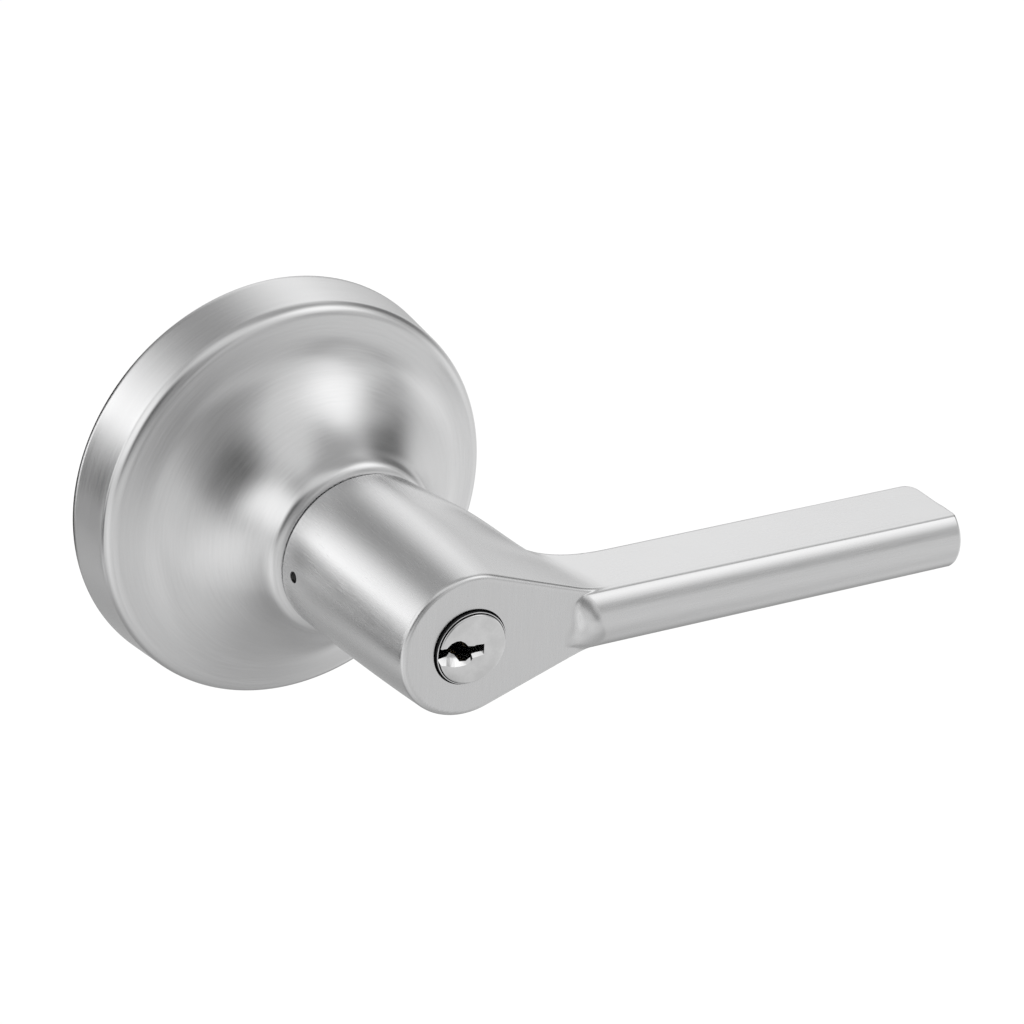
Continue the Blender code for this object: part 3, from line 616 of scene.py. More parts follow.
def settle(field, verts, rounds=5):
    """Moves points onto the zero surface along the field's slope."""
    place = verts.T.copy()
    for _ in range(rounds):
        distance = field(tuple(place))
        slope = slope_of(field, tuple(place))
        for k in range(3):
            place[k] -= np.clip(distance, -0.5, 0.5) * slope[k]
    return place.T


def lever_skin():
    xs = spans(
        (-18.6, -13.0, 0.45), (-13.0, 20.0, 0.6), (20.0, 34.0, 0.4), (34.0, 111.0, 2.5),
        (111.0, 117.3, 0.33),
    )
    ys = spans(
        (-87.4, -82.0, 0.3), (-82.0, -70.0, 0.8), (-70.0, -64.0, 0.45), (-64.0, -39.6, 0.9),
        (-39.6, -37.8, 0.3),
    )
    half = spans((0.0, 4.9, 0.55), (4.9, 7.3, 0.24), (7.3, 13.3, 0.5), (13.3, 19.0, 0.45))
    zs = np.concatenate([-half[:0:-1], half])
    # moved a hair in x and y, so that no grid point falls exactly on a face
    verts, faces = skin(lever_distance, xs + 0.0131, ys + 0.0117, zs)
    return settle(lever_distance, verts), faces


CATCH_Y = -43.0             # the catch and its holes lie along X at this y
HOLE_RADIUS = 7.97          # hole in the lever's face for the cylinder
HOLE_EDGE = 0.22            # radius that breaks its edge


def lever_piece():
    verts, faces = lever_skin()
    obj = new_object("lever_fine", verts, faces, 60)
    edge = [
        (
            HOLE_RADIUS + HOLE_EDGE * (1 - sin(radians(a))),
            FACE_Y + HOLE_EDGE * (1 - cos(radians(a))),
        )
        for a in (0, 22, 45, 67, 90)
    ]
    tube_bore = revolve(
        "bore_tube",
        [(0, -50.4), (12.35, -50.4), (12.35, -39.0), (12.95, -38.4), (12.95, -34.0), (0, -34.0)],
        128,
    )
    cutters = [
        revolve(
            "bore_housing",
            [(0, -90.0), (8.22, -90.0), (8.22, FACE_Y)] + edge + [(HOLE_RADIUS, -48.0), (0, -48.0)],
            128,
        ),
        solid_box("bore_pins", (0.0, -80.2, -3.95), (13.9, -48.0, 3.95), 0.0),
        cylinder("bore_catch", 1.95, -15.4, -8.0, 48, "X", (0, CATCH_Y, 0)),
        revolve(
            "bore_release",
            [(0, -22.0), (1.45, -22.0), (1.45, -17.45), (1.2, -17.15), (1.2, -12.0), (0, -12.0)],
            48,
            "X",
            (0, CATCH_Y, 0),
        ),
    ]
    key = solid_box("bore_key", (-2.4, -51.5, 9.6), (2.4, -45.2, 13.4), 0.0)
    obj = combine(obj, [tube_bore], "DIFFERENCE", 32)
    obj = combine(obj, [key], "UNION", 32)
    obj = combine(obj, cutters, "DIFFERENCE", 32)
    fine_normals(obj, lever_distance)
    return obj


def fine_normals(obj, field):
    """Exact normals on the outer skin, plain smooth ones in the bores."""
    mesh = obj.data
    places = np.zeros(len(mesh.vertices) * 3)
    mesh.vertices.foreach_get("co", places)
    places = places.reshape(-1, 3) / MM
    on_skin = np.abs(field(tuple(places.T))) < 0.03
    slopes = np.stack(slope_of(field, tuple(places.T)), -1)
    normals = np.zeros(len(mesh.loops) * 3, np.float32)
    mesh.corner_normals.foreach_get("vector", normals)
    normals = normals.reshape(-1, 3)
    index = np.zeros(len(mesh.loops), int)
    mesh.loops.foreach_get("vertex_index", index)
    for face in mesh.polygons:
        corners = slice(face.loop_start, face.loop_start + face.loop_total)
        verts = index[corners]
        if not on_skin[verts].all():
            continue
        exact = slopes[verts]
        if ((exact @ np.array(face.normal)) > 0.55).all():
            normals[corners] = exact
    mesh.normals_split_custom_set(normals.tolist())


# ============================================================= materials
class Net:
    """Short hand for building node trees."""

    def __init__(self, tree):
        self.tree = tree
        tree.nodes.clear()

    def node(self, kind, values=None, **settings):
        node = self.tree.nodes.new(kind)
        for key, value in settings.items():
            setattr(node, key, value)
        for key, value in (values or {}).items():
            self.put(node.inputs[key], value)
        return node

    def put(self, socket, value):
        """Links a socket or node to an input, or sets the input's value."""
        if isinstance(value, bpy.types.NodeSocket):
            self.tree.links.new(value, socket)
        elif isinstance(value, bpy.types.Node):
            self.tree.links.new(value.outputs[0], socket)
        else:
            socket.default_value = value

    def math(self, operation, first, second=0.0, third=None):
        values = {0: first, 1: second}
        if third is not None:
            values[2] = third
        return self.node("ShaderNodeMath", values, operation=operation).outputs[0]

    def ramp(self, value, low, high, to_low=0.0, to_high=1.0, smooth=True):
        values = {
            "Value": value, "From Min": low, "From Max": high, "To Min": to_low, "To Max": to_high,
        }
        kind = "SMOOTHSTEP" if smooth else "LINEAR"
        return self.node("ShaderNodeMapRange", values, interpolation_type=kind).outputs["Result"]

    def spread(self, value, to_low, to_high, low=0.3, high=0.7):
        """The usual range of a noise spread linearly over another."""
        return self.ramp(value, low, high, to_low, to_high, smooth=False)

    def noise(self, vector, scale=1.0, detail=3.0, rough=0.6, w=None):
        values = {"Vector": vector, "Scale": scale, "Detail": detail, "Roughness": rough}
        if w is not None:
            values["W"] = w
        size = "4D" if w is not None else "3D"
        return self.node("ShaderNodeTexNoise", values, noise_dimensions=size).outputs["Fac"]

    def mix(self, factor, first, second):
        values = {0: factor, 2: first, 3: second}
        return self.node("ShaderNodeMix", values, data_type="FLOAT").outputs[0]

    def mix_colour(self, factor, first, second):
        values = {0: factor}
        for key, value in ((6, first), (7, second)):
            values[key] = (*value, 1.0) if isinstance(value, tuple) else value
        return self.node("ShaderNodeMix", values, data_type="RGBA").outputs[2]


def start_material(name):
    mat = bpy.data.materials.new(name)
    mat.use_nodes = True
    net = Net(mat.node_tree)
    out = net.node("ShaderNodeOutputMaterial")
    shader = net.node("ShaderNodeBsdfPrincipled")
    net.tree.links.new(shader.outputs[0], out.inputs["Surface"])
    return mat, net, shader


def position(net):
    """Place on the resting part: it rides with the object when this moves."""
    return net.node("ShaderNodeTexCoord").outputs["Object"]


def turned_coordinates(net, along, around):
    """Noise vector and w: radius and height scaled by along, cosine and sine by around."""
    x, y, z = net.node("ShaderNodeSeparateXYZ", {0: position(net)}).outputs
    square = net.math("ADD", net.math("MULTIPLY", x, x), net.math("MULTIPLY", z, z))
    radius = net.math("SQRT", square)
    safe = net.math("MAXIMUM", radius, 1e-5)
    cosine = net.math("DIVIDE", x, safe)
    sine = net.math("DIVIDE", z, safe)
    vector = net.node(
        "ShaderNodeCombineXYZ",
        {
            0: net.math("MULTIPLY", radius, along),
            1: net.math("MULTIPLY", y, along),
            2: net.math("MULTIPLY", cosine, around),
        },
    )
    return vector.outputs[0], net.math("MULTIPLY", sine, around)


def edge_wear(net, size):
    """Near 1 on edges: a rounded normal turned away from the true one."""
    bevel = net.node("ShaderNodeBevel", {"Radius": size}, samples=4)
    geometry = net.node("ShaderNodeNewGeometry")
    dot = net.node(
        "ShaderNodeVectorMath", {0: bevel, 1: geometry.outputs["Normal"]}, operation="DOT_PRODUCT"
    )
    return net.ramp(dot.outputs["Value"], low=1.0, high=0.5)


def stretch(net, factors):
    """Position multiplied per axis."""
    node = net.node("ShaderNodeVectorMath", {1: factors}, operation="MULTIPLY")
    net.put(node.inputs[0], position(net))
    return node.outputs[0]


def scaled(colour, factor):
    return tuple(c * factor for c in colour)


def finish_metal(net, shader, tone, roughness, height, strength, distance):
    """Colour, roughness and a bump from the lay of the cut; distance in metres."""
    net.put(shader.inputs["Base Color"], tone)
    net.put(shader.inputs["Metallic"], 1.0)
    net.put(shader.inputs["Roughness"], roughness)
    values = {"Strength": strength, "Distance": distance, "Height": height}
    net.put(shader.inputs["Normal"], net.node("ShaderNodeBump", values))


SATIN = (0.735, 0.735, 0.738)


def satin_turned(name):
    """Satin chrome, brushed round the axis as on a lathe."""
    mat, net, shader = start_material(name)
    hair_place, hair_w = turned_coordinates(net, along=9000.0, around=7.0)
    line_place, line_w = turned_coordinates(net, along=3200.0, around=2.6)
    band_place, band_w = turned_coordinates(net, along=420.0, around=1.2)
    hair = net.noise(hair_place, detail=2.0, w=hair_w)
    line = net.noise(line_place, w=line_w)
    band = net.noise(band_place, detail=2.0, rough=0.5, w=band_w)
    cloud = net.noise(position(net), scale=55.0, rough=0.55)
    streak = net.math("ADD", net.math("MULTIPLY", hair, 0.55), net.math("MULTIPLY", line, 0.45))
    roughness = net.math(
        "ADD",
        net.spread(streak, to_low=0.205, to_high=0.25),
        net.spread(cloud, to_low=-0.010, to_high=0.010),
    )
    band_part = net.spread(band, to_low=-0.010, to_high=0.010, low=0.35, high=0.65)
    roughness = net.math("ADD", roughness, band_part)
    tone = net.mix_colour(
        net.ramp(streak, low=0.32, high=0.68), scaled(SATIN, 0.965), scaled(SATIN, 1.02)
    )
    net.put(shader.inputs["Anisotropic"], 0.72)
    tangent = net.node("ShaderNodeTangent", direction_type="RADIAL", axis="Y")
    net.put(shader.inputs["Tangent"], tangent)
    finish_metal(net, shader, tone, roughness, streak, strength=0.055, distance=0.00004)
    return mat


def satin_rubbed(name):
    """Satin chrome on the lever: rubbed along the neck (y), its face (z) and the blade (x)."""
    mat, net, shader = start_material(name)
    split = net.node("ShaderNodeSeparateXYZ", {0: position(net)})
    geometry = net.node("ShaderNodeNewGeometry")
    normal = net.node("ShaderNodeSeparateXYZ", {0: geometry.outputs["Normal"]})
    on_blade = net.ramp(split.outputs[0], low=0.024, high=0.036)    # metres
    facing = net.ramp(net.math("MULTIPLY", normal.outputs[1], -1.0), low=0.9, high=0.985)
    on_face = net.math("MULTIPLY", facing, net.math("SUBTRACT", 1.0, on_blade))
    neck = net.noise(stretch(net, (3600.0, 190.0, 3600.0)))
    face = net.noise(stretch(net, (3600.0, 3600.0, 150.0)))
    blade = net.noise(stretch(net, (130.0, 3600.0, 3600.0)))
    streak = net.mix(on_blade, neck, blade)
    streak = net.mix(on_face, streak, face)
    cloud = net.noise(position(net), scale=60.0, rough=0.5)
    roughness = net.math(
        "ADD",
        net.spread(streak, to_low=0.232, to_high=0.282),
        net.spread(cloud, to_low=-0.010, to_high=0.010),
    )
    tone = net.mix_colour(
        net.ramp(streak, low=0.3, high=0.7), scaled(SATIN, 0.975), scaled(SATIN, 1.015)
    )
    finish_metal(net, shader, tone, roughness, streak, strength=0.05, distance=0.00004)
    return mat


def metal(
    name, colour, roughness, spread=0.06, turned=False, lay_scale=(900.0, 900.0, 900.0),
    bump=0.12, tint=None,
):
    """A machined or plated metal: base tone, lay of the cut, worn edges."""
    mat, net, shader = start_material(name)
    if turned:
        vector, w = turned_coordinates(net, along=2400.0, around=1.5)
        lay = net.noise(vector, w=w)
    else:
        lay = net.noise(stretch(net, lay_scale), detail=4.0)
    cloud = net.noise(position(net), scale=240.0, detail=4.0)
    wear = edge_wear(net, size=0.0003)      # metres
    tone = net.mix_colour(net.ramp(cloud, low=0.3, high=0.72), scaled(colour, 0.86), colour)
    if tint:
        patches = net.noise(position(net), scale=90.0, detail=2.0, rough=0.5)
        tone = net.mix_colour(net.ramp(patches, low=0.45, high=0.75), tone, tint)
    worn = tuple(min(1.0, c * 1.22 + 0.04) for c in colour)
    tone = net.mix_colour(net.math("MULTIPLY", wear, 0.5), tone, worn)
    rough = net.math(
        "ADD",
        net.spread(lay, to_low=roughness - spread, to_high=roughness + spread),
        net.spread(cloud, to_low=-0.03, to_high=0.03),
    )
    finish_metal(net, shader, tone, rough, lay, strength=bump, distance=0.00005)
    return mat


# finish: (slot it belongs to, material)
FINISHES = {
    "satin_turned": ("satin_chrome", satin_turned("satin_chrome_turned")),
    "satin": ("satin_chrome", satin_rubbed("satin_chrome_rubbed")),
    "bright": ("bright_chrome", metal(
        "bright_chrome", colour=(0.80, 0.80, 0.80), roughness=0.16, spread=0.04,
        lay_scale=(2600.0, 500.0, 260.0), bump=0.05,
    )),
    "housing": ("bright_chrome", metal(
        "bright_chrome_turned", colour=(0.78, 0.78, 0.785), roughness=0.17, spread=0.04,
        turned=True, bump=0.06,
    )),
    # painted shade: a near-black metal in the bright chrome slot, for the side walls of the plug
    # and housing in the shaded gap round the bore
    "side": ("bright_chrome", metal(
        "painted_shade_turned", colour=(0.055, 0.055, 0.057), roughness=0.42, turned=True, bump=0.05,
    )),
    "plated": ("zinc_plated", metal(
        "zinc_plated_sheet", colour=(0.60, 0.61, 0.60), roughness=0.36,
        lay_scale=(420.0, 420.0, 420.0), tint=(0.56, 0.60, 0.66),
    )),
    "plated_turned": ("zinc_plated", metal(
        "zinc_plated_turned", colour=(0.62, 0.62, 0.60), roughness=0.33, turned=True,
        tint=(0.58, 0.62, 0.68),
    )),
    "steel": ("plain_steel", metal(
        "plain_steel", colour=(0.47, 0.47, 0.48), roughness=0.34, spread=0.08,
        lay_scale=(500.0, 140.0, 500.0),
    )),
    "steel_turned": ("plain_steel", metal(
        "plain_steel_turned", colour=(0.50, 0.50, 0.51), roughness=0.30, spread=0.07, turned=True,
    )),
    "spring": ("spring_steel", metal(
        "spring_steel", colour=(0.33, 0.33, 0.35), roughness=0.28, spread=0.05,
        lay_scale=(700.0, 700.0, 700.0),
    )),
    "brass": ("brass", metal(
        "brass_machined", colour=(0.78, 0.58, 0.27), roughness=0.26,
        lay_scale=(300.0, 1800.0, 300.0), tint=(0.66, 0.47, 0.22),
    )),
    "brass_turned": ("brass", metal(
        "brass_turned", colour=(0.80, 0.60, 0.28), roughness=0.24, turned=True,
    )),
    "bronze": ("bronze", metal(
        "sintered_bronze", colour=(0.56, 0.39, 0.22), roughness=0.46, turned=True, bump=0.2,
        tint=(0.44, 0.29, 0.17),
    )),
    "zinc": ("zinc_casting", metal(
        "zinc_casting", colour=(0.50, 0.51, 0.52), roughness=0.50, bump=0.25,
    )),
}
PAINTED_SHADE_RADIUS = 7.3           # faces turned sideways beyond it get painted shade, a near-black finish


def dress(obj, body, finish, painted_shade_sides=False):
    """Piece "<node>_fine" takes the place of its CAD node, moves with body and gets a finish."""
    slot, material = FINISHES[finish]
    obj.data.materials.clear()
    obj.data.materials.append(material)
    # painted shade: sideways faces out beyond that radius get the near-black finish, for the shaded
    # gap round the bore
    if painted_shade_sides:
        obj.data.materials.append(FINISHES["side"][1])
        for face in obj.data.polygons:
            centre = face.center
            outside = hypot(centre.x, centre.z) > PAINTED_SHADE_RADIUS * MM
            face.material_index = int(abs(face.normal.y) < 0.3 and outside)
    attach(obj, body)
    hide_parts(obj.name.removesuffix("_fine"))
    return obj


# ================================================================ pieces
dress(revolve("rose_fine", rose_profile(), 240, angle=40), "trim", "satin_turned")
dress(lever_piece(), "lever", "satin")

# ------------------------------------------------------------ key cylinder
PIN_PITCH = 3.96
PIN_Y = [-76.0 + PIN_PITCH * i for i in range(5)]
PIN_RADIUS, CHAMBER_RADIUS = 1.35, 1.55
PLUG_FACE, RING_FACE = -84.25, -83.75
PLUG_BACK = -48.4
HOUSING_RADIUS, HOUSING_BACK = 7.72, -53.0
KEY_PIN_TOP, DRIVER_LOW = 6.25, 6.55            # x of the ends that face each other
KEY_PIN_LENGTHS = (3.4, 4.3, 3.1, 4.7, 3.7)
PIN_SPRING_END = 12.85


def chambers(prefix, low, high):
    """Cutters for the five pin chambers, from x = low to high."""
    return [
        cylinder(f"{prefix}_{i}", CHAMBER_RADIUS, low, high, 32, "X", (0, y, 0))
        for i, y in enumerate(PIN_Y)
    ]


def cylinder_housing():
    profile = [
        (6.47, HOUSING_BACK), (HOUSING_RADIUS, HOUSING_BACK), (HOUSING_RADIUS, RING_FACE),
        (7.5, RING_FACE), (7.5, -80.55), (6.47, -80.55),
    ]
    obj = revolve(
        "cylinder_housing_fine", rounded(profile, 0.1, own={2: 0.08, 3: 0.06}, steps=4), 160
    )
    block = solid_box("pin_block_fine", (7.05, -79.6, -3.7), (13.0, HOUSING_BACK, 3.7), 0.25)
    obj = combine(obj, [block], "UNION")
    return combine(obj, chambers("chamber", 3.0, 16.0))


# the housing's sides in the bore get painted shade
dress(cylinder_housing(), "lever", "housing", painted_shade_sides=True)

# keyway outline in (x, z): its upper edge, with a side ward
KEYWAY_UPPER = (
    (-9.4, 1.5), (-5.9, 1.45), (-5.5, 1.85), (-4.9, 2.3), (-3.8, 2.58), (-2.9, 2.5),
    (-1.9, 1.85), (-1.15, 1.0), (0.3, 0.72), (0.6, 0.88), (2.5, 0.72),
)
# its lower edge, inside and at the face where the edge is broken
KEYWAY_LOWER = (
    ((2.5, -1.06), (2.55, -1.6)),
    ((1.0, -1.12), (1.2, -1.76)),
    ((0.0, -1.2), (0.0, -1.84)),
    ((-0.2, -1.9), (-0.35, -2.5)),
    ((-1.2, -2.5), (-1.35, -3.05)),
    ((-2.5, -2.4), (-2.8, -3.1)),
    ((-3.1, -1.35), (-3.9, -3.0)),
    ((-4.1, -0.75), (-4.9, -2.75)),
    ((-5.0, -1.1), (-5.9, -2.3)),
    ((-9.4, -1.1), (-9.4, -1.65)),
)
KEYWAY_INSIDE, KEYWAY_FRONT = [
    list(KEYWAY_UPPER) + [pair[k] for pair in KEYWAY_LOWER] for k in (0, 1)
]


def keyway_lead():
    """Cutter that opens the lower edge of the keyway out towards the face."""
    ahead = 0.3                             # the cutter starts this far in front of the face
    front, inside = [], []
    for (x, z), (inner_x, inner_z) in zip(KEYWAY_FRONT, KEYWAY_INSIDE):
        drop = hypot(x - inner_x, z - inner_z)
        grow = 1 + ahead / max(drop, 1e-6) if drop > 0.01 else 1.0
        front.append(
            (inner_x + (x - inner_x) * grow, PLUG_FACE - ahead, inner_z + (z - inner_z) * grow)
        )
        inside.append((inner_x, PLUG_FACE + max(drop, 0.25), inner_z))
    count = len(front)
    shape = bmesh.new()
    points = [shape.verts.new([c * MM for c in place]) for place in front + inside]
    shape.faces.new(points[:count])
    shape.faces.new(points[count:][::-1])
    for i in range(count):
        j = (i + 1) % count
        shape.faces.new((points[j], points[i], points[count + i], points[count + j]))
    bmesh.ops.triangulate(shape, faces=shape.faces)
    bmesh.ops.recalc_face_normals(shape, faces=shape.faces)
    return from_bmesh("keyway_lead", shape)


def key_plug():
    profile = [
        (0.0, PLUG_FACE), (7.36, PLUG_FACE), (7.36, -80.85), (6.35, -80.85),
        (6.35, -52.0), (5.2, -52.0), (5.2, PLUG_BACK), (0.0, PLUG_BACK),
    ]
    obj = revolve("key_plug_fine", rounded(profile, 0.12, own={0: 0, 7: 0, 1: 0.34}), 160)
    keyway = rounded(KEYWAY_INSIDE, 0.12, steps=3)
    cutters = [plate("keyway_cut", [keyway], -90.0, -56.0, 0.001), keyway_lead()]
    cutters += chambers("plug_chamber", 1.2, 9.0)
    cutters.append(solid_box("tail_slot", (-3.2, -50.8, -0.9), (3.2, -46.0, 0.9), 0.0))
    return combine(obj, cutters)


# the plug's sides in the bore get painted shade
dress(key_plug(), "plug", "bright", painted_shade_sides=True)


def pin(name, profile, radius, own, y):
    """A pin along +X; profile is (radius, x)."""
    return revolve(name, rounded(profile, radius, own, steps=3), 40, "X", (0, y, 0))


def pin_stack(number, y, length):
    """A key pin, its driver and its spring, from the axis outwards."""
    top, low = KEY_PIN_TOP, DRIVER_LOW
    key_profile = [
        (0.0, top - length), (0.35, top - length), (PIN_RADIUS, top - length + 0.8),
        (PIN_RADIUS, top - 0.3), (1.0, top), (0.0, top),
    ]
    dress(pin(f"key_pin_{number}_fine", key_profile, 0.12, {0: 0, 5: 0}, y), "plug", "brass")
    driver_profile = [
        (0.0, low), (1.1, low), (PIN_RADIUS, low + 0.25), (PIN_RADIUS, low + 2.7),
        (0.7, low + 2.7), (0.7, low + 3.2), (0.0, low + 3.2),
    ]
    driver = pin(f"driver_pin_{number}_fine", driver_profile, 0.08, {0: 0, 6: 0}, y)
    dress(driver, "lever", "brass")
    start = low + 3.0
    spring = coil(
        f"pin_spring_{number}_fine", along_x(start, PIN_SPRING_END - start, y),
        radius=1.1, turns=3, gauge=0.3, per_turn=24, sides=8,
    )
    dress(spring, "lever", "spring")


for number, (y, length) in enumerate(zip(PIN_Y, KEY_PIN_LENGTHS), 1):
    pin_stack(number, y, length)

dress(
    solid_box("pin_spring_cover_fine", (13.15, -79.4, -3.5), (13.65, -53.2, 3.5), 0.12),
    "lever", "brass",
)
dress(
    plate("plug_cap_fine", [circle(7.65, 96), circle(5.35, 96)], -51.75, -49.4, 0.2),
    "plug", "brass_turned",
)
dress(
    solid_box("tailpiece_fine", (-3.0, -50.6, -0.75), (3.0, 0.0, 0.75), 0.18), "plug", "steel"
)

# -------------------------------------------------------- tube and its parts
TUBE_BORE, TUBE_RADIUS, TUBE_GROOVE = 10.6, 12.1, 11.3


def lever_tube():
    profile = [
        (TUBE_BORE, -50.0), (TUBE_RADIUS, -50.0), (TUBE_RADIUS, -2.0), (TUBE_GROOVE, -2.0),
        (TUBE_GROOVE, -0.7), (TUBE_RADIUS, -0.7), (TUBE_RADIUS, 14.0), (TUBE_BORE, 14.0),
    ]
    own = {0: 0.2, 1: 0.4, 6: 0.35, 7: 0.2}
    obj = revolve("lever_tube_fine", rounded(profile, 0.06, own, steps=4), 144)
    cutters = [
        solid_box("tube_gap", (-14.0, 3.0, -7.5), (14.0, 16.0, 7.5), 0.7, 4),
        solid_box("tube_slot", (-2.6, -52.0, 8.0), (2.6, -44.5, 14.0), 0.5),
        cylinder("tube_window", 1.9, -14.0, -8.0, 48, "X", (0, CATCH_Y, 0)),
    ]
    return combine(obj, cutters)


def retaining_ring():
    """A ring open at -z."""
    gap = 14.0                              # half of the opening, degrees
    first, last = -90 + gap, 270 - gap
    outline = arc(14.3, first, last, 97) + arc(11.45, last, first, 97)
    return plate("retaining_ring_fine", [outline], -1.8, -0.9, 0.1)


def hub_bush():
    """A bush with a flange."""
    bore, radius, flange = 12.3, 13.9, 17.0
    profile = [
        (bore, -24.0), (radius, -24.0), (radius, -15.7), (flange, -15.7), (flange, -14.0),
        (radius, -14.0), (radius, -12.1), (bore, -12.1),
    ]
    return revolve("hub_bush_fine", rounded(profile, 0.2, own={2: 0.05, 5: 0.05}, steps=4), 128)


WASHER = [(12.25, -5.7), (14.2, -5.7), (14.2, -4.1), (12.25, -4.1)]     # radius, y

dress(lever_tube(), "lever", "steel_turned")
dress(retaining_ring(), "lever", "spring")
dress(
    plate("tail_guide_fine", [circle(10.4, 96), circle(3.35, 48)], -7.0, -3.2, 0.25),
    "lever", "bronze",
)
dress(revolve("thrust_washer_fine", rounded(WASHER, 0.15, steps=3), 128), "lever", "bronze")
dress(hub_bush(), "trim", "bronze")

# ---------------------------------------------------------------- catch
CATCH = [  # radius, x
    (0.0, -14.6), (1.25, -14.6), (1.75, -14.1), (1.75, -9.9), (2.7, -9.9), (2.7, -9.1),
    (1.0, -9.1), (1.0, -8.2), (0.0, -8.2),
]

catch_profile = rounded(CATCH, 0.12, own={0: 0, 8: 0, 3: 0.03, 6: 0.03}, steps=4)
dress(
    revolve("lever_catch_fine", catch_profile, 64, "X", (0, CATCH_Y, 0)),
    "catch", "steel",
)
catch_spring = coil(
    "catch_spring_fine", along_x(-8.65, 3.55, CATCH_Y),
    radius=1.75, turns=3, gauge=0.5, per_turn=28, sides=10,
)
dress(catch_spring, "lever", "spring")
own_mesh(catch_spring)
# the bracket's corners stay 0.25 clear of the tube's bore
half_bracket = sqrt((TUBE_BORE - 0.25) ** 2 - 4.6**2)
dress(
    solid_box("catch_bracket_fine", (-4.6, -46.6, -half_bracket), (-3.8, -39.4, half_bracket)),
    "lever", "steel",
)

# ------------------------------------------------------- liner, cage, cover
CAGE_RADIUS = 31.0
SCREW_CIRCLE = 28.7
SCREWS = [
    (SCREW_CIRCLE * cos(radians(a)), SCREW_CIRCLE * sin(radians(a))) for a in (45, 135, 225, 315)
]
POST_X = 19.0
POST_HOLES = [circle(3.3, 48, (POST_X * side, 0.0)) for side in (-1, 1)]
SPRING_CIRCLE, SPRING_Y = 21.6, -8.85
SCREW_HEAD_Y, SCREW_END_Y = -13.95, -4.5        # under the head, and the far end
SCREW_HEAD_RADIUS = 2.1


def spring_cage():
    """A ring with a stop at +z, on a floor plate."""
    inside = arc(26.4, 99, 441, 121)
    inside += arc(16.8, 81, 86, 4)
    inside += arc(14.9, 86, 94, 6)
    inside += arc(16.8, 94, 99, 4)
    holes = [circle(1.15, 24, place) for place in SCREWS]
    wall = plate(
        "spring_cage_fine", [circle(CAGE_RADIUS, 160), inside] + holes, -12.2, -3.3, 0.12
    )
    floor_plate = plate(
        "cage_floor_fine", [circle(CAGE_RADIUS, 160), circle(12.5, 96)] + POST_HOLES,
        -3.9, -2.2, 0.12,
    )
    return combine(wall, [floor_plate], "UNION")


def cage_cover():
    holes = [circle(1.35, 24, place) for place in SCREWS]
    loops = [circle(CAGE_RADIUS, 160), circle(14.2, 96)] + holes
    return plate("cage_cover_fine", loops, -13.8, -12.4)


def cover_screw(number, x, z):
    """A slotted screw with a domed head on -Y."""
    head = SCREW_HEAD_Y
    dome = [
        (SCREW_HEAD_RADIUS * sin(radians(a)), head - 0.62 - 0.38 * cos(radians(a)))
        for a in (18, 36, 54, 72, 90)
    ]
    shank = [
        (SCREW_HEAD_RADIUS, head), (1.0, head), (1.0, -4.7), (0.8, SCREW_END_Y),
        (0.0, SCREW_END_Y),
    ]
    screw = revolve(
        f"cover_screw_{number}_fine", [(0.0, head - 1.0)] + dome + shank, 40, "Y", (x, 0, z)
    )
    low, high = (x - 2.6, head - 1.6, z - 0.28), (x + 2.6, head - 0.55, z + 0.28)
    return combine(screw, [solid_box(f"slot_{number}", low, high, 0.0)])


def spring_driver():
    """A disc about the tube, stepped in at +z, with an arm at -z."""
    notch = 54.4                            # half of the stepped arc, degrees
    outline = arc(14.45, 90 - notch, 90 + notch, 41)
    outline += arc(16.2, 90 + notch, 261, 41)
    outline += arc(25.9, 261, 279, 11)
    outline += arc(16.2, 279, 450 - notch, 41)
    return plate("spring_driver_fine", [outline, circle(12.25, 96)], -11.8, -5.9)


def channel(first, last):
    """Coil path round the Y axis between two angles in degrees."""
    def at(t):
        a = radians(first + (last - first) * t)
        centre = (SPRING_CIRCLE * cos(a), SPRING_Y, SPRING_CIRCLE * sin(a))
        return centre, (cos(a), 0, sin(a)), (0, 1, 0)

    return at


def through_bolt_post(label, x):
    """A flanged post along +Y, threaded inside from its door end."""
    outside = [
        (0.0, -5.5), (4.4, -5.5), (4.4, -4.1), (3.05, -4.1), (3.05, 0.3), (4.0, 0.3),
        (4.0, 23.4), (3.4, 24.0),
    ]
    bore = [(1.9, 24.0)]
    y = 23.6
    while y > 5.0:                          # ridges of the female thread
        bore += [(1.72, y), (1.60, y - 0.4)]
        y -= 0.8
    bore += [(1.65, 4.0), (0.0, 3.0)]
    shape = rounded(outside, 0.15, own={0: 0, 6: 0}, steps=4)
    return revolve(f"through_bolt_post_{label}_fine", shape + bore, 64, "Y", (x, 0, 0))


liner_loops = [circle(41.6, 240), circle(15.6, 128)] + POST_HOLES
dress(plate("rose_liner_fine", liner_loops, -1.9, 0.0, 0.2), "trim", "plated")
dress(spring_cage(), "trim", "zinc")
dress(cage_cover(), "trim", "plated")
for number, (x, z) in enumerate(SCREWS, 1):
    dress(cover_screw(number, x, z), "trim", "steel")
dress(spring_driver(), "lever", "steel")
for label, first, last in (("right", 78, -78), ("left", 102, 258)):
    return_spring = coil(
        f"return_spring_{label}_fine", channel(first, last),
        radius=2.15, turns=10, gauge=1.2, per_turn=28, sides=12,
    )
    dress(return_spring, "trim", "spring")
for side, label in ((-1, "left"), (1, "right")):
    dress(through_bolt_post(label, POST_X * side), "trim", "plated_turned")


# ====================================================== floor, light, camera
FLOOR_Z, FLOOR_SIZE = -0.30, 6.0        # metres


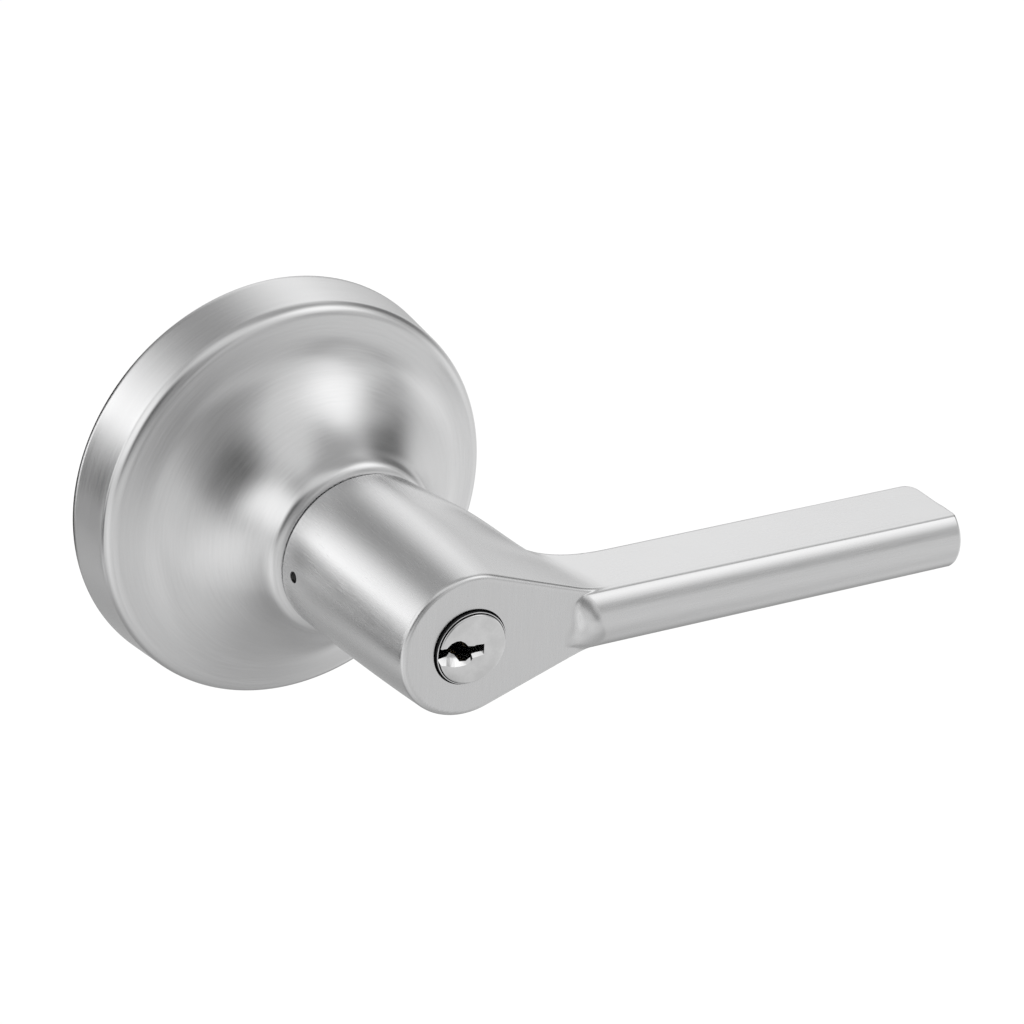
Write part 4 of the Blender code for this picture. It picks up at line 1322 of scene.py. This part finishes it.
def studio_floor():
    """White paper under the lockset, unseen in reflections."""
    shape = bmesh.new()
    bmesh.ops.create_grid(shape, x_segments=8, y_segments=8, size=FLOOR_SIZE)
    floor = from_bmesh("studio_floor", shape)
    floor.location = (0, 0, FLOOR_Z)
    floor.visible_glossy = False
    mat, net, shader = start_material("studio_floor_paper")
    paper = net.noise(position(net), scale=30.0, rough=0.5)
    tone = net.mix_colour(paper, (0.90, 0.90, 0.90), (0.93, 0.93, 0.93))
    net.put(shader.inputs["Base Color"], tone)
    net.put(shader.inputs["Roughness"], 0.9)
    net.put(shader.inputs["Specular IOR Level"], 0.0)
    floor.data.materials.append(mat)


# Soft boxes on the sky, seen only in reflections; those below zero darken it.
# Columns: azimuth, elevation, half width, half height, softness (degrees), strength.
# Azimuth 0 is seen along +Y, 90 along +X.
BOXES = (
    (-40, 6, 4, 28, 22, 1.28),
    (123, 40, 14, 27, 8, 0.41),
    (31, 27, 16, 10, 15, 0.46),
    (-140, 28, 30, 23, 6, -0.39),
    (90, 24, 35, 19, 10, -0.62),
    (73, -40, 40, 27, 26, 0.77),
    (106, 21, 5, 26, 22, 0.71),
    (124, 22, 26, 11, 3, -0.34),
    (9, -57, 32, 63, 2, -0.11),
    (-59, 34, 55, 26, 13, -0.54),
    (65, -47, 53, 39, 21, -0.60),
    (-18, -2, 14, 19, 3, -1.54),
    (174, 12, 18, 19, 19, -0.27),
    (-84, 27, 22, 19, 11, 0.95),
    (-44, -5, 4, 13, 5, -1.40),
    (-105, 46, 15, 4, 4, 0.16),
    (53, -45, 16, 13, 13, -0.45),
    (42, 73, 26, 19, 9, -0.37),
    (-29, -27, 32, 7, 5, -0.63),
    (-101, -24, 11, 17, 8, 0.14),
    (-57, -50, 13, 20, 16, -0.17),
    (-51, -15, 14, 12, 4, -0.67),
    (-42, -17, 14, 14, 8, 0.35),
    (-41, -21, 14, 12, 8, 0.26),
    (-174, -5, 12, 12, 9, -0.25),
    (-152, -11, 13, 14, 8, -0.10),
    (177, -6, 14, 12, 8, -0.10),
    (-40, -14, 13, 17, 4, -0.34),
)
GLOSSY_BASE = 0.80          # sky in reflections, before the boxes
EVEN_LIGHT = 1.12           # sky for all other light
BACKDROP = 1.0              # sky as the camera sees it


def box_mask(net, direction, azimuth, elevation, wide, high, soft):
    """1 inside a soft box, 0 outside."""
    a, e = radians(azimuth), radians(elevation)
    ahead = (sin(a) * cos(e), cos(a) * cos(e), sin(e))
    right = (cos(a), -sin(a), 0.0)
    up = tuple(Vector(right).cross(Vector(ahead)))
    parts = [
        net.node(
            "ShaderNodeVectorMath", {0: direction, 1: axis}, operation="DOT_PRODUCT"
        ).outputs["Value"]
        for axis in (ahead, right, up)
    ]
    blur = sin(radians(soft))

    def fade(part, half):
        edge = sin(radians(half))
        return net.ramp(net.math("ABSOLUTE", part), low=edge + blur, high=max(0.0, edge - blur))

    across = fade(parts[1], wide)
    along = fade(parts[2], high)
    front = net.ramp(parts[0], low=0.0, high=0.1)
    return net.math("MULTIPLY", net.math("MULTIPLY", across, along), front)


def studio_world():
    world = bpy.data.worlds.new("studio")
    bpy.context.scene.world = world
    world.use_nodes = True
    world.cycles.sampling_method = "NONE"
    net = Net(world.node_tree)
    out = net.node("ShaderNodeOutputWorld")
    direction = net.node("ShaderNodeTexCoord").outputs["Generated"]
    total = GLOSSY_BASE
    for *box, strength in BOXES:
        total = net.math("MULTIPLY_ADD", box_mask(net, direction, *box), strength, total)
    glossy, even, backdrop = [
        net.node("ShaderNodeBackground", {"Color": (1, 1, 1, 1), "Strength": strength})
        for strength in (net.math("MAXIMUM", total, 0.0), EVEN_LIGHT, BACKDROP)
    ]
    rays = net.node("ShaderNodeLightPath").outputs
    mixed = net.node("ShaderNodeMixShader", {0: rays["Is Glossy Ray"], 1: even, 2: glossy})
    final = net.node("ShaderNodeMixShader", {0: rays["Is Camera Ray"], 1: mixed, 2: backdrop})
    net.put(out.inputs["Surface"], final)


CAMERA_PLACE = (-0.44371565, -0.78702859, 0.43451240)       # metres
CAMERA_LOOK = (0.48522415, 0.75702859, -0.43756741)
CAMERA_ROLL = 3.9132        # degrees


def studio_camera():
    camera = bpy.data.cameras.new("camera")
    camera.lens = 170.562
    camera.sensor_width = 36.0
    camera.clip_start, camera.clip_end = 0.05, 30.0
    obj = add_object("camera", camera)
    look = Vector(CAMERA_LOOK).normalized()
    level = look.cross(Vector((0, 0, 1))).normalized()
    above = level.cross(look)
    roll = radians(CAMERA_ROLL)
    side = level * cos(roll) + above * sin(roll)
    up = above * cos(roll) - level * sin(roll)
    rows = [(side[i], up[i], -look[i], CAMERA_PLACE[i]) for i in range(3)]
    obj.matrix_world = Matrix(rows + [(0, 0, 0, 1)])
    bpy.context.scene.camera = obj


studio_floor()
studio_world()
bpy.context.scene.view_settings.view_transform = "Standard"
bpy.context.scene.view_settings.look = "None"
studio_camera()
